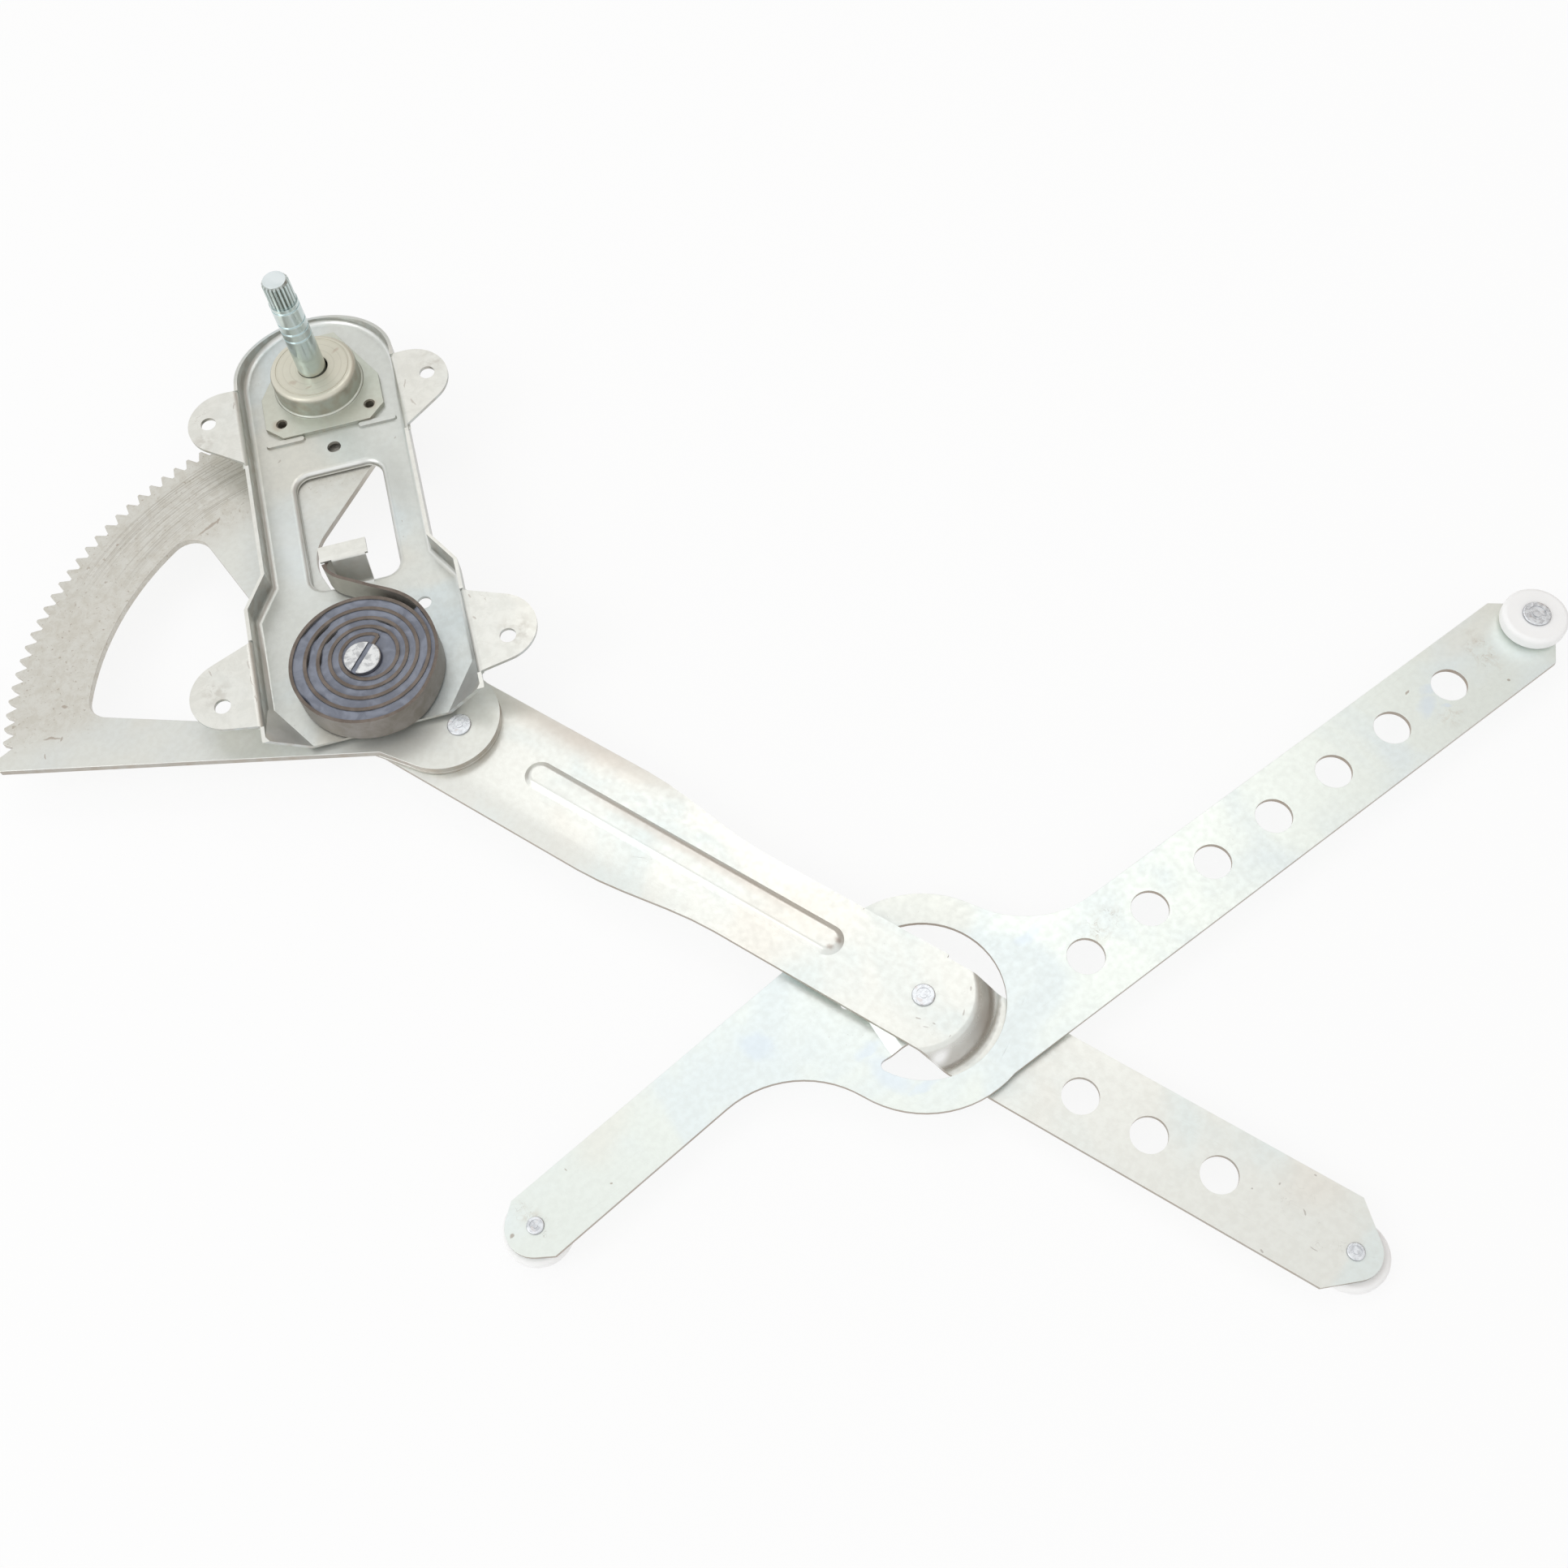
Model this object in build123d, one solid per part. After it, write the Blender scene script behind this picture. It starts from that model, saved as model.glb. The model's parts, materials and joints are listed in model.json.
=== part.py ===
from build123d import *
import os
from math import acos, atan2, ceil, cos, degrees, hypot, pi, radians, sin, sqrt, tan

# Manual X-arm window regulator. Millimetres, +Z up.
# The origin is midway between the two lower ear holes, on the face of the ears that bolts to the
# door's inner panel. +X runs along that pair of holes and +Y towards the crank spindle.

# ---------------------------------------------------------------- gear train
MODULE = 2.0
PRESSURE_ANGLE = 28.0
SECTOR_CIRCLE_TEETH = 145          # teeth that the sector's circle would hold
SECTOR_TEETH_LEFT = 34             # teeth to the left of the one that faces the pinion
SECTOR_TEETH_RIGHT = 6             # teeth to its right, under the base plate
PINION_TEETH = 8
SECTOR_ADDENDUM = 1.8
SECTOR_DEDENDUM = 2.1
PINION_ADDENDUM = 1.9
PINION_DEDENDUM = 2.1
TOOTH_THINNING = 0.12              # taken off each tooth at the pitch circle, for backlash
SECTOR_PITCH_R = MODULE * SECTOR_CIRCLE_TEETH / 2
PINION_PITCH_R = MODULE * PINION_TEETH / 2
CENTRE_DISTANCE = SECTOR_PITCH_R + PINION_PITCH_R

# ---------------------------------------------------------------- heights
EAR_FACE_Z = 0.0
PAN_DEPTH = 11.0                   # ear face down to the top of the pan's floor
PAN_SHEET = 1.5
SECTOR_GAP = 2.0                   # pan's underside to the sector gear, filled by a washer
SECTOR_SHEET = 3.0
SPACER_SHEET = 1.5
ARM_SHEET = 2.0
SCISSOR_WASHER = 0.5
SCISSOR_STEP = 2.2                 # from the pivot tab down to the equalizer's ring and arms
ARM_JOGGLE = 8.1                   # from the lift arm's inner part down to its outer part
FLOOR_Z = EAR_FACE_Z - PAN_DEPTH
PAN_UNDER_Z = FLOOR_Z - PAN_SHEET
SECTOR_Z = PAN_UNDER_Z - SECTOR_GAP
SPACER_Z = SECTOR_Z - SECTOR_SHEET
ARM_Z = SPACER_Z - SPACER_SHEET
TAB_Z = ARM_Z - ARM_SHEET - SCISSOR_WASHER
EQUALIZER_Z = TAB_Z - SCISSOR_STEP
ARM_OUTER_Z = ARM_Z - ARM_JOGGLE

# ---------------------------------------------------------------- base plate
STUD_Y = 4.0                       # pivot of the sector gear and the lift arm
SPINDLE_Y = STUD_Y + CENTRE_DISTANCE
PAN_NARROW_HALF = 34.5
PAN_WIDE_HALF = 43.0
PAN_BOTTOM_Y = -20.6               # open lower edge of the floor
PAN_BOTTOM_HALF = 26.5
PAN_CORNER_Y = -16.0               # where each wall ends at the rim
PAN_FACET_Y = -0.3                 # where the sloped corner starts, at the floor
PAN_FACET_HALF = 39.4
PAN_SHOULDER_LOW_Y = 42.0
PAN_SHOULDER_HIGH_Y = 57.0
PAN_END_Y = 161.0                  # centre of the round end
PAN_BEND_R = 2.5                   # inside radius between the floor and the walls
RIM_DROP_START_Y = 154.0
RIM_DROP_MID = (174.0, -4.5)
RIM_DROP_END_Z = -8.75
EAR_HOLE_R = 3.25
LOWER_EAR_HALF_SPACING = 56.0
LOWER_EAR_R = 15.7
LOWER_EAR_CENTRE = (52.6, 4.9)     # centre of the ear's round outline
LOWER_EAR_ROOT_Y = (-13.4, 27.0)
UPPER_EAR_HALF_SPACING = 47.0
UPPER_EAR_Y = 140.6
UPPER_EAR_R = 16.0
UPPER_EAR_CENTRE = (39.7, 139.6)
UPPER_EAR_ROOT_Y = (113.6, 155.4)
EAR_BEND_R = 1.0                   # inside radius between a wall and an ear
WINDOW_X = (-17.5, 19.0)
WINDOW_Y = (51.0, 110.5)
WINDOW_CORNER_R = 6.5
WINDOW_LIP = 1.2                   # how far the window's rolled edge hangs below the floor
WINDOW_ROUND = 2.4                 # the floor rolls down into the window
HOOK_WEB_X = (-6.0, 7.7)
HOOK_HEAD_X = (-10.5, 8.8)
HOOK_TOP_Z = 0.8
HOOK_LEAN = 6.0
HOOK_HEAD_LENGTH = 7.0
HOOK_BEND_R = 2.4
DATUM_HOLE = (1.2, 122.3)
DRAIN_HOLE = (25.6, 32.7)
FLOOR_HOLE_R = 2.9
RIB_LENGTH = 16.8
RIB_WIDTH = 3.2
RIB_HEIGHT = 1.1
RIB_SLOPE = 20.0
RIB_X = (-18.4, 21.2)
RIB_Y = 130.2

# ---------------------------------------------------------------- brake housing, spindle, pinion
HOUSING_SHEET = 2.0
HOUSING_HALF_WIDTH = 25.5
HOUSING_BOTTOM_Y = 131.6
HOUSING_CHAMFER = 6.8
HOUSING_SHOULDER_Y = 155.0
HOUSING_TOP_Y = 184.2
HOUSING_TOP_HALF = 10.0
CUP_R = 18.5
CUP_WALL = 1.8
CUP_TOP_Z = 1.6
CUP_EDGE_R = 2.2
CUP_BEAD_R = 0.9
CUP_GROOVE = (15.35, 15.8, 0.25)     # turned groove in its top: inner and outer radius, depth
HOUSING_BORE_R = 7.0
EYELET_R = 2.4
EYELET_BORE_R = 1.9
EYELET_FLARE = 0.6
EYELET_PLACES = ((-18.6, 139.4), (19.4, 139.4), (0.0, 179.6))
SPINDLE_R = 6.0
RELIEF_R = 5.2                     # turned relief between the driver and the plain shaft
PLAIN_SHAFT_Z = 2.2
SPINDLE_TIP_Z = 53.2
SPLINE_R = 5.6
SPLINE_COUNT = 20
SPLINE_DEPTH = 0.7
SPLINE_START_Z = 41.4
SPINDLE_TIP_R = 4.7
SPINDLE_TIP_CHAMFER = 1.4         # length of the tip's taper
GROOVE_Z = (22.8, 27.0, 31.4, 39.3)
GROOVE_DEPTH = 0.5
GROOVE_WIDTH = 0.9
DRIVER_R = 13.8
DRIVER_THICKNESS = 3.0
PINION_COLLAR_R = 11.0
PINION_FACE = 5.6
WRAP_WIRE = 1.6                    # side of the square wire
WRAP_TURNS = 3
WRAP_PITCH = 1.9

# ---------------------------------------------------------------- fits
RUNNING = 0.05                     # radial clearance of a pin that turns in its hole
SIDE_GAP = 0.3                     # end play of a part that turns on a pin

# ---------------------------------------------------------------- stud and counterbalance spring
STUD_R = 7.2
STUD_TOP_Z = 3.9
STUD_SLOT = 2.0
STUD_SLOT_DEPTH = 9.0
STUD_SLOT_ANGLE = 52.0
STUD_NECK_R = 6.0
STUD_CHAMFER = 0.4
BUSH_WALL = 2.0
BUSH_FLANGE = 1.2
SPRING_STRIP = 1.35
SPRING_Z = (-10.0, 2.0)
SPRING_START_R = 8.5
SPRING_PITCH = 3.37                # growth of the first turn; each later turn opens out a little more
SPRING_OPENING = 0.23
SPRING_SIDE_SHIFT = (1.9, 0.4)     # the inner turns sit off the stud: first shift, loss per turn
SPRING_UP_SHIFT = (2.1, 0.05)
SPRING_END_ANGLE = 1740.0
SPRING_STEP_ANGLE = 30.0
SPRING_TAIL = (
    (24.4, -13.9), (28.9, 0.0), (28.4, 8.0), (26.3, 15.4),
    (22.6, 22.2), (15.6, 28.8), (8.4, 33.2), (-0.8, 39.2),
)
SPRING_HOOK = ((0.0, -7.0), (-3.0, 0.0), (1.6, 4.6), (9.4, 6.6))    # round the hook tab's web
SPRING_NOTCH = 2.5                 # the strip is cut down under the hook's head from here

# ---------------------------------------------------------------- sector gear
SECTOR_RIM = 28.9                  # tooth root in to the sector's window
SECTOR_HUB_R = 30.0
SECTOR_HUB_ARC = (20.0, 50.0, 80.0)
LOBE_MID_ANGLE = -45.0
SECTOR_STUB = ((-147.9, 7.8), (-148.2, 1.7))
SECTOR_HEEL = (-2.8, -32.3)
LOBE_CENTRE = (23.4, -24.4)
LOBE_R = 22.4
SECTOR_FLANK_CORNER = (-17.4, 67.0)
SECTOR_FLANK_R = 22.0
SECTOR_WAIST = (-5.0, 33.0)
SPOKE_RIGHT = ((-55.9, 82.1), (-43.9, 54.4))
SPOKE_BOTTOM = ((-103.9, 13.8), (-73.6, 3.3))
SECTOR_WINDOW_R = 9.0
SECTOR_WINDOW_HUB_R = 34.0
SECTOR_RIVET = (29.1, -29.3)
SECTOR_RIVET_HIDDEN = (-17.0, 14.0)
SECTOR_RIVET_R = 4.7

# ---------------------------------------------------------------- lift arm
ARM_ANGLE = -47.18
SCISSOR_DISTANCE = 249.9           # stud to scissor pivot
LIFT_ROLLER_DISTANCE = 416.0
LIFT_ROLLER_OFFSET = -1.2
ARM_INNER_HALF = 23.8
ARM_INNER_OFFSET = 0.6
ARM_FLANGED_LENGTH = 114.0         # stud to where the turned-down edges start to fade out
ARM_FADE_LENGTH = 58.0
ARM_WAIST_HALF = 17.9
ARM_STEP_HALF = 18.1
ARM_EDGE_DROP = 1.2
ARM_FADE_DROP = 0.02               # what is left of the turned-down edges where they fade out
ARM_FADE_STEPS = 6
ARM_EDGE_BAND = 12.0
BEAD_START = 79.6
BEAD_END = 209.6
BEAD_HALF = 6.0
BEAD_HEIGHT = 1.6
BEAD_SLOPE = 52.0                  # of its sides, from upright
BEAD_CROWN_R = 2.5
BEAD_ASIDE = 0.8
BEAD_SKEW = -0.3
JOGGLE_START = 18.7                # scissor pivot to the top of the step, along the arm
JOGGLE_END = 26.6
JOGGLE_CENTRE_BACK = 4.0           # the step is round about a point this far behind the pivot
JOGGLE_BEND_R = 3.0
ARM_END_CORNER_BACK = 5.0
ARM_END_R = 10.2
ARM_END_BACK = 1.2                 # the rounded end's centre behind the lift roller's pin
ARM_OUTER_HALF = 18.0
LIFT_HOLE_R = 6.72
LIFT_HOLE_PITCH = 26.43
LIFT_HOLE_FIRST = 313.9
LIFT_HOLES = 3

# ---------------------------------------------------------------- equalizer arm
RING_R = 41.5
RING_OPENING_R = 29.8
LONG_ARM_ANGLE = 21.5
LONG_ARM_MID = -23.1               # the arm's middle line runs beside the pivot
LONG_ARM_HALF = 17.5
LONG_ARM_CORNER = 279.6
CHANNEL_ROLLER_AHEAD = 5.7
CHANNEL_ROLLER_ASIDE = 0.5
LONG_HOLE_R = 7.01
LONG_HOLE_PITCH = 30.64
LONG_HOLE_FIRST = 56.8
LONG_HOLES = 7
LONG_END_R = 9.4
SHORT_ARM_ANGLE = 206.4
SHORT_ARM_MID = -29.4
SHORT_ARM_HALF = 12.5
SHORT_ARM_CORNER = 154.1
TAIL_ROLLER_AHEAD = -1.1
TAIL_ROLLER_ASIDE = -0.2
SHORT_END_R = 10.7
CROTCH_R = 40.0
TAB_ANGLE = 196.4
TAB_HALF = 11.4
TAB_STEP_START = 16.5
TAB_STEP_LENGTH = 4.5
TAB_BEND_R = 1.0
TAB_ROOT_R = 1.5
TAB_CORNER_R = 2.2                 # where the tongue's sides meet the ring

# ---------------------------------------------------------------- rivets and rollers
SCISSOR_RIVET_R = 3.4
SCISSOR_HEAD_R = 4.2
SCISSOR_HEAD = 0.9
SCISSOR_WASHER_R = 9.0
PIN_R = 2.6
PIN_HEAD_R = 3.1
PIN_HEAD = 0.8
CHANNEL_PIN_HEAD_R = 5.4
ROLLER_R = 12.5
ROLLER_THICKNESS = 6.2
ROLLER_EDGE = 1.8
CHANNEL_ROLLER_R = 12.7
TAIL_BOSS = 1.5
LIFT_BOSS = 0.4
CHANNEL_BOSS = 0.6
BOSS_R = 4.6
CLENCH_R = 4.4
CLENCH = 1.1
SCISSOR_CLENCH_R = 5.4
RIVET_ROUND = 0.6                  # rounding of a rivet head's rim, as a part of its height
DIMPLE_R = 0.62                    # stamped dish of a rivet head, as a part of the head's radius
DIMPLE = 0.25


# ---------------------------------------------------------------- helpers
def polar(radius, angle):
    """Point at an angle in degrees on a circle about the origin."""
    return (radius * cos(radians(angle)), radius * sin(radians(angle)))


def plate(sketch, top, thickness):
    """Flat plate of the sketch's outline with its upper face at a height."""
    return Pos(0, 0, top - thickness) * extrude(sketch, amount=thickness)


def disc(radius, low, high):
    """Cylinder on the Z axis between two heights."""
    return Pos(0, 0, low) * Cylinder(radius, high - low, align=(Align.CENTER, Align.CENTER, Align.MIN))


def block(x_span, y_span, z_span):
    """Box between two values on each axis."""
    size = [span[1] - span[0] for span in (x_span, y_span, z_span)]
    return Pos(x_span[0], y_span[0], z_span[0]) * Box(*size, align=(Align.MIN, Align.MIN, Align.MIN))


def sheet_section(points, bend_radius, thickness):
    """Cross-section of bent sheet in the XZ plane; the points run along its upper face."""
    top = FilletPolyline(*points, radius=bend_radius)
    outline = offset(top, amount=thickness, side=Side.RIGHT)
    return Plane.XZ * make_face(outline.edges())


def rivet(shank_r, head_r, head, top, bottom, foot_r, foot):
    """Round rivet: a dished head above top, a shank, and a clenched foot below bottom."""
    body = disc(shank_r, bottom, top)
    body += disc(head_r, top, top + head)
    body += disc(foot_r, bottom - foot, bottom)
    rim = body.edges().filter_by(GeomType.CIRCLE).sort_by(Axis.Z)[-1]
    body = fillet(rim, head * RIVET_ROUND)
    dish = disc(head_r * DIMPLE_R, top + head - DIMPLE, top + head)
    ring = disc(head_r * DIMPLE_R / 2, top + head - DIMPLE, top + head)
    return body - (dish - ring)


def tip_outline(corner_s, low_t, high_t, pin, radius):
    """Corner points and tip arc of an arm's end, along +X: two straight cuts that meet a round tip."""
    points = []
    for t, side in ((low_t, -1), (high_t, 1)):
        dx = corner_s - pin[0]
        dy = t - pin[1]
        reach = hypot(dx, dy)
        away = atan2(dy, dx) - side * acos(radius / reach)
        points.append((pin[0] + radius * cos(away), pin[1] + radius * sin(away)))
    return points


def arm_blank(start_s, corner_s, low_t, high_t, pin, radius):
    """Flat arm along +X from start_s to a tip that is rounded about its pin."""
    low_tangent, high_tangent = tip_outline(corner_s, low_t, high_t, pin, radius)
    tip = (pin[0] + radius, pin[1])
    outline = Polyline((start_s, high_t), (start_s, low_t), (corner_s, low_t), low_tangent).edges()
    outline += ThreePointArc(low_tangent, tip, high_tangent).edges()
    outline += Polyline(high_tangent, (corner_s, high_t), (start_s, high_t)).edges()
    return make_face(outline)


def involute_half_angle(pitch_r, teeth, radius):
    """Half the angle in degrees that a tooth spans at a radius outside its base circle."""
    def involute(angle):
        return tan(angle) - angle
    base_r = pitch_r * cos(radians(PRESSURE_ANGLE))
    at_radius = acos(base_r / radius)
    half = pi / 2 / teeth - TOOTH_THINNING / 2 / pitch_r
    return degrees(half + involute(radians(PRESSURE_ANGLE)) - involute(at_radius))


# ---------------------------------------------------------------- base plate
def pan_prism(inset):
    """The pan's outside when inset is 0, or its inside when inset is the sheet's thickness."""
    narrow = PAN_NARROW_HALF - inset
    wide = PAN_WIDE_HALF - inset
    bend = PAN_BEND_R + PAN_SHEET - inset
    low = 2 * PAN_BOTTOM_Y
    right = [(wide, low), (wide, PAN_SHOULDER_LOW_Y), (narrow, PAN_SHOULDER_HIGH_Y), (narrow, PAN_END_Y)]
    left = [(-x, y) for x, y in reversed(right)]
    outline = Polyline(*right).edges()
    outline += ThreePointArc(right[-1], (0, PAN_END_Y + narrow), left[0]).edges()
    outline += Polyline(*left, right[0]).edges()
    prism = extrude(make_face(outline), amount=2 * PAN_DEPTH)
    prism = fillet(prism.edges().filter_by(Plane.XY).group_by(Axis.Z)[0], bend)
    prism = Pos(0, 0, PAN_UNDER_Z + inset) * prism
    for side in (-1, 1):
        prism -= corner_wedge(side, inset)
    return prism


def corner_wedge(side, inset):
    """Half-space outside the sloped facet that closes a lower corner of the pan."""
    start = Vector(side * PAN_FACET_HALF, PAN_FACET_Y, FLOOR_Z)
    low = Vector(side * PAN_BOTTOM_HALF, PAN_BOTTOM_Y, FLOOR_Z)
    rim = Vector(side * PAN_WIDE_HALF, PAN_CORNER_Y, EAR_FACE_Z)
    outward = (low - start).cross(rim - start).normalized()
    if outward.Z > 0:
        outward = outward * -1
    lift = start + outward * (PAN_SHEET - inset)
    face = Plane(origin=lift, x_dir=(low - start).normalized(), z_dir=outward)
    reach = 4 * PAN_WIDE_HALF
    return face * Box(reach, reach, reach / 2, align=(Align.CENTER, Align.CENTER, Align.MIN))


def ear(hole_x, hole_y, centre, radius, root_y, wall_x):
    """Flat ear on the rim, on the +X side, with the bend that joins it to the wall."""
    root_x = wall_x - PAN_SHEET - EAR_BEND_R
    outline = make_hull(
        (Pos(*centre) * Circle(radius)).edges()
        + Line((root_x, root_y[0]), (root_x, root_y[1])).edges()
    )
    body = plate(outline, EAR_FACE_Z, PAN_SHEET)
    length = root_y[1] - root_y[0]
    under = block((wall_x - PAN_SHEET, wall_x + EAR_BEND_R), root_y,
                  (EAR_FACE_Z - PAN_SHEET - EAR_BEND_R, EAR_FACE_Z - PAN_SHEET))
    round_under = Pos(wall_x + EAR_BEND_R, root_y[0], EAR_FACE_Z - PAN_SHEET - EAR_BEND_R) * Rot(-90, 0, 0)
    under -= round_under * Cylinder(EAR_BEND_R, length, align=(Align.CENTER, Align.CENTER, Align.MIN))
    outer_r = EAR_BEND_R + PAN_SHEET
    edge_x = wall_x - PAN_SHEET
    over = block((edge_x - outer_r, edge_x + outer_r), root_y, (EAR_FACE_Z - outer_r, EAR_FACE_Z + outer_r))
    round_over = Pos(edge_x + outer_r, root_y[0], EAR_FACE_Z - outer_r) * Rot(-90, 0, 0)
    over -= round_over * Cylinder(outer_r, length, align=(Align.CENTER, Align.CENTER, Align.MIN))
    over -= block((edge_x + outer_r, edge_x + 2 * outer_r), root_y, (EAR_FACE_Z - outer_r, EAR_FACE_Z))
    hole = Pos(hole_x, hole_y) * disc(EAR_HOLE_R, EAR_FACE_Z - PAN_SHEET, EAR_FACE_Z)
    return body + under, over, hole


def mirrored(shape):
    """The shape and its mirror image across the YZ plane."""
    return [shape, mirror(shape, Plane.YZ)]


def hook_tab():
    """Tab for the spring's outer end: a leaning web with a T-shaped head."""
    root_y = WINDOW_Y[0] - PAN_SHEET
    web_y = root_y + HOOK_LEAN
    points = [
        (root_y - 2 * HOOK_BEND_R - PAN_SHEET, FLOOR_Z),
        (root_y, FLOOR_Z),
        (web_y, HOOK_TOP_Z),
        (web_y + HOOK_HEAD_LENGTH, HOOK_TOP_Z),
    ]
    line = FilletPolyline(*points, radius=HOOK_BEND_R)
    section = Plane.YZ * make_face(offset(line, amount=PAN_SHEET, side=Side.RIGHT).edges())
    web = Pos(HOOK_WEB_X[0], 0, 0) * extrude(section, amount=HOOK_WEB_X[1] - HOOK_WEB_X[0])
    head = Pos(HOOK_HEAD_X[0], 0, 0) * extrude(section, amount=HOOK_HEAD_X[1] - HOOK_HEAD_X[0])
    head &= block(HOOK_HEAD_X, (web_y, web_y + HOOK_HEAD_LENGTH), (HOOK_TOP_Z - PAN_SHEET, HOOK_TOP_Z))
    return web + head


def rolled_window():
    """The window's cut through the floor, and the rolled edge that hangs below it."""
    centre = Pos((WINDOW_X[0] + WINDOW_X[1]) / 2, (WINDOW_Y[0] + WINDOW_Y[1]) / 2)
    width = WINDOW_X[1] - WINDOW_X[0]
    height = WINDOW_Y[1] - WINDOW_Y[0]
    cut = centre * RectangleRounded(width, height, WINDOW_CORNER_R)
    collar = centre * RectangleRounded(width + 2 * PAN_SHEET, height + 2 * PAN_SHEET,
                                       WINDOW_CORNER_R + PAN_SHEET)
    lip = plate(collar, PAN_UNDER_Z, WINDOW_LIP)
    through = plate(cut, FLOOR_Z + PAN_SHEET, 3 * PAN_SHEET + WINDOW_LIP)
    return through, lip


def window_edges(body):
    """Edges round the window at the top of the floor."""
    level = body.edges().filter_by_position(Axis.Z, FLOOR_Z - RUNNING, FLOOR_Z + RUNNING)
    across = level.filter_by_position(Axis.X, WINDOW_X[0] - RUNNING, WINDOW_X[1] + RUNNING)
    return across.filter_by_position(Axis.Y, WINDOW_Y[0] - RUNNING, WINDOW_Y[1] + RUNNING)


def base_plate():
    body = pan_prism(0)
    body -= pan_prism(PAN_SHEET)
    above = block((-2 * PAN_WIDE_HALF, 2 * PAN_WIDE_HALF), (2 * PAN_BOTTOM_Y - 1, 2 * PAN_END_Y),
                  (EAR_FACE_Z, 2 * PAN_DEPTH))
    below_edge = block((-2 * PAN_WIDE_HALF, 2 * PAN_WIDE_HALF), (2 * PAN_BOTTOM_Y - 1, PAN_BOTTOM_Y),
                       (PAN_UNDER_Z, 2 * PAN_DEPTH))
    body -= above
    body -= below_edge
    body -= rim_drop()
    ear_sets = (
        (LOWER_EAR_HALF_SPACING, 0.0, LOWER_EAR_CENTRE, LOWER_EAR_R, LOWER_EAR_ROOT_Y, PAN_WIDE_HALF),
        (UPPER_EAR_HALF_SPACING, UPPER_EAR_Y, UPPER_EAR_CENTRE, UPPER_EAR_R, UPPER_EAR_ROOT_Y,
         PAN_NARROW_HALF),
    )
    inside = pan_prism(PAN_SHEET)
    for ear_set in ear_sets:
        added, over, hole = ear(*ear_set)
        added -= inside
        for piece in mirrored(added):
            body += piece
        for piece in mirrored(over) + mirrored(hole):
            body -= piece
    through, lip = rolled_window()
    body += lip
    body -= through
    body = fillet(window_edges(body), WINDOW_ROUND)
    body += hook_tab()
    for x in RIB_X:
        rib = extrude(SlotOverall(RIB_LENGTH, RIB_WIDTH), amount=RIB_HEIGHT, taper=RIB_SLOPE)
        body += Pos(x, RIB_Y, FLOOR_Z) * rib
    for x, y in (DATUM_HOLE, DRAIN_HOLE):
        body -= Pos(x, y) * disc(FLOOR_HOLE_R, PAN_UNDER_Z, FLOOR_Z)
    for x, y in EYELET_PLACES:
        body -= Pos(x, y) * disc(EYELET_R, PAN_UNDER_Z, FLOOR_Z)
    body -= Pos(0, SPINDLE_Y) * disc(PINION_COLLAR_R + RUNNING, PAN_UNDER_Z, FLOOR_Z)
    body -= Pos(0, STUD_Y) * disc(STUD_R + RUNNING + BUSH_WALL, PAN_UNDER_Z, FLOOR_Z)
    return body


def rim_drop():
    """Cut that lowers the rim around the pan's round end."""
    end_y = PAN_END_Y + PAN_NARROW_HALF
    start = (RIM_DROP_START_Y, EAR_FACE_Z)
    end = (end_y, RIM_DROP_END_Z)
    outline = ThreePointArc(start, RIM_DROP_MID, end).edges()
    outline += Polyline(end, (end_y + PAN_DEPTH, RIM_DROP_END_Z), (end_y + PAN_DEPTH, PAN_DEPTH),
                        (RIM_DROP_START_Y, PAN_DEPTH), start).edges()
    section = Plane.YZ * make_face(outline)
    return extrude(section, amount=2 * PAN_WIDE_HALF, both=True)


# ---------------------------------------------------------------- brake housing and its eyelets
def brake_housing():
    corner = HOUSING_HALF_WIDTH - HOUSING_CHAMFER
    right = [
        (corner, HOUSING_BOTTOM_Y),
        (HOUSING_HALF_WIDTH, HOUSING_BOTTOM_Y + HOUSING_CHAMFER),
        (HOUSING_HALF_WIDTH, HOUSING_SHOULDER_Y),
        (HOUSING_TOP_HALF, HOUSING_TOP_Y),
    ]
    left = [(-x, y) for x, y in reversed(right)]
    flange_top = FLOOR_Z + HOUSING_SHEET
    body = plate(make_face(Polyline(*right, *left, close=True).edges()), flange_top, HOUSING_SHEET)
    cup = disc(CUP_R, FLOOR_Z, CUP_TOP_Z)
    cup = fillet(cup.edges().filter_by(GeomType.CIRCLE).sort_by(Axis.Z)[-1], CUP_EDGE_R)
    cavity = disc(CUP_R - CUP_WALL, FLOOR_Z, CUP_TOP_Z - CUP_WALL)
    bore = disc(HOUSING_BORE_R, FLOOR_Z, CUP_TOP_Z)
    groove_inner_r, groove_outer_r, groove_depth = CUP_GROOVE
    groove = disc(groove_outer_r, CUP_TOP_Z - groove_depth, CUP_TOP_Z)
    groove -= disc(groove_inner_r, CUP_TOP_Z - groove_depth, CUP_TOP_Z)
    centre = Pos(0, SPINDLE_Y)
    bead = Pos(0, 0, flange_top) * Torus(CUP_R, CUP_BEAD_R)
    bead &= disc(CUP_R + 2 * CUP_BEAD_R, flange_top, flange_top + 2 * CUP_BEAD_R)
    body += centre * cup
    body += centre * bead
    body -= centre * cavity
    body -= centre * bore
    body -= centre * groove
    for x, y in EYELET_PLACES:
        body -= Pos(x, y) * disc(EYELET_R, FLOOR_Z, flange_top)
    return body


def eyelet(place):
    """Hollow rivet that holds the brake housing to the pan."""
    body = disc(EYELET_R, PAN_UNDER_Z, FLOOR_Z + HOUSING_SHEET - EYELET_FLARE)
    body += disc(EYELET_R + EYELET_FLARE, PAN_UNDER_Z - EYELET_FLARE, PAN_UNDER_Z)
    body -= disc(EYELET_BORE_R, PAN_UNDER_Z - EYELET_FLARE, FLOOR_Z + HOUSING_SHEET)
    return Pos(*place) * body


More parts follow.
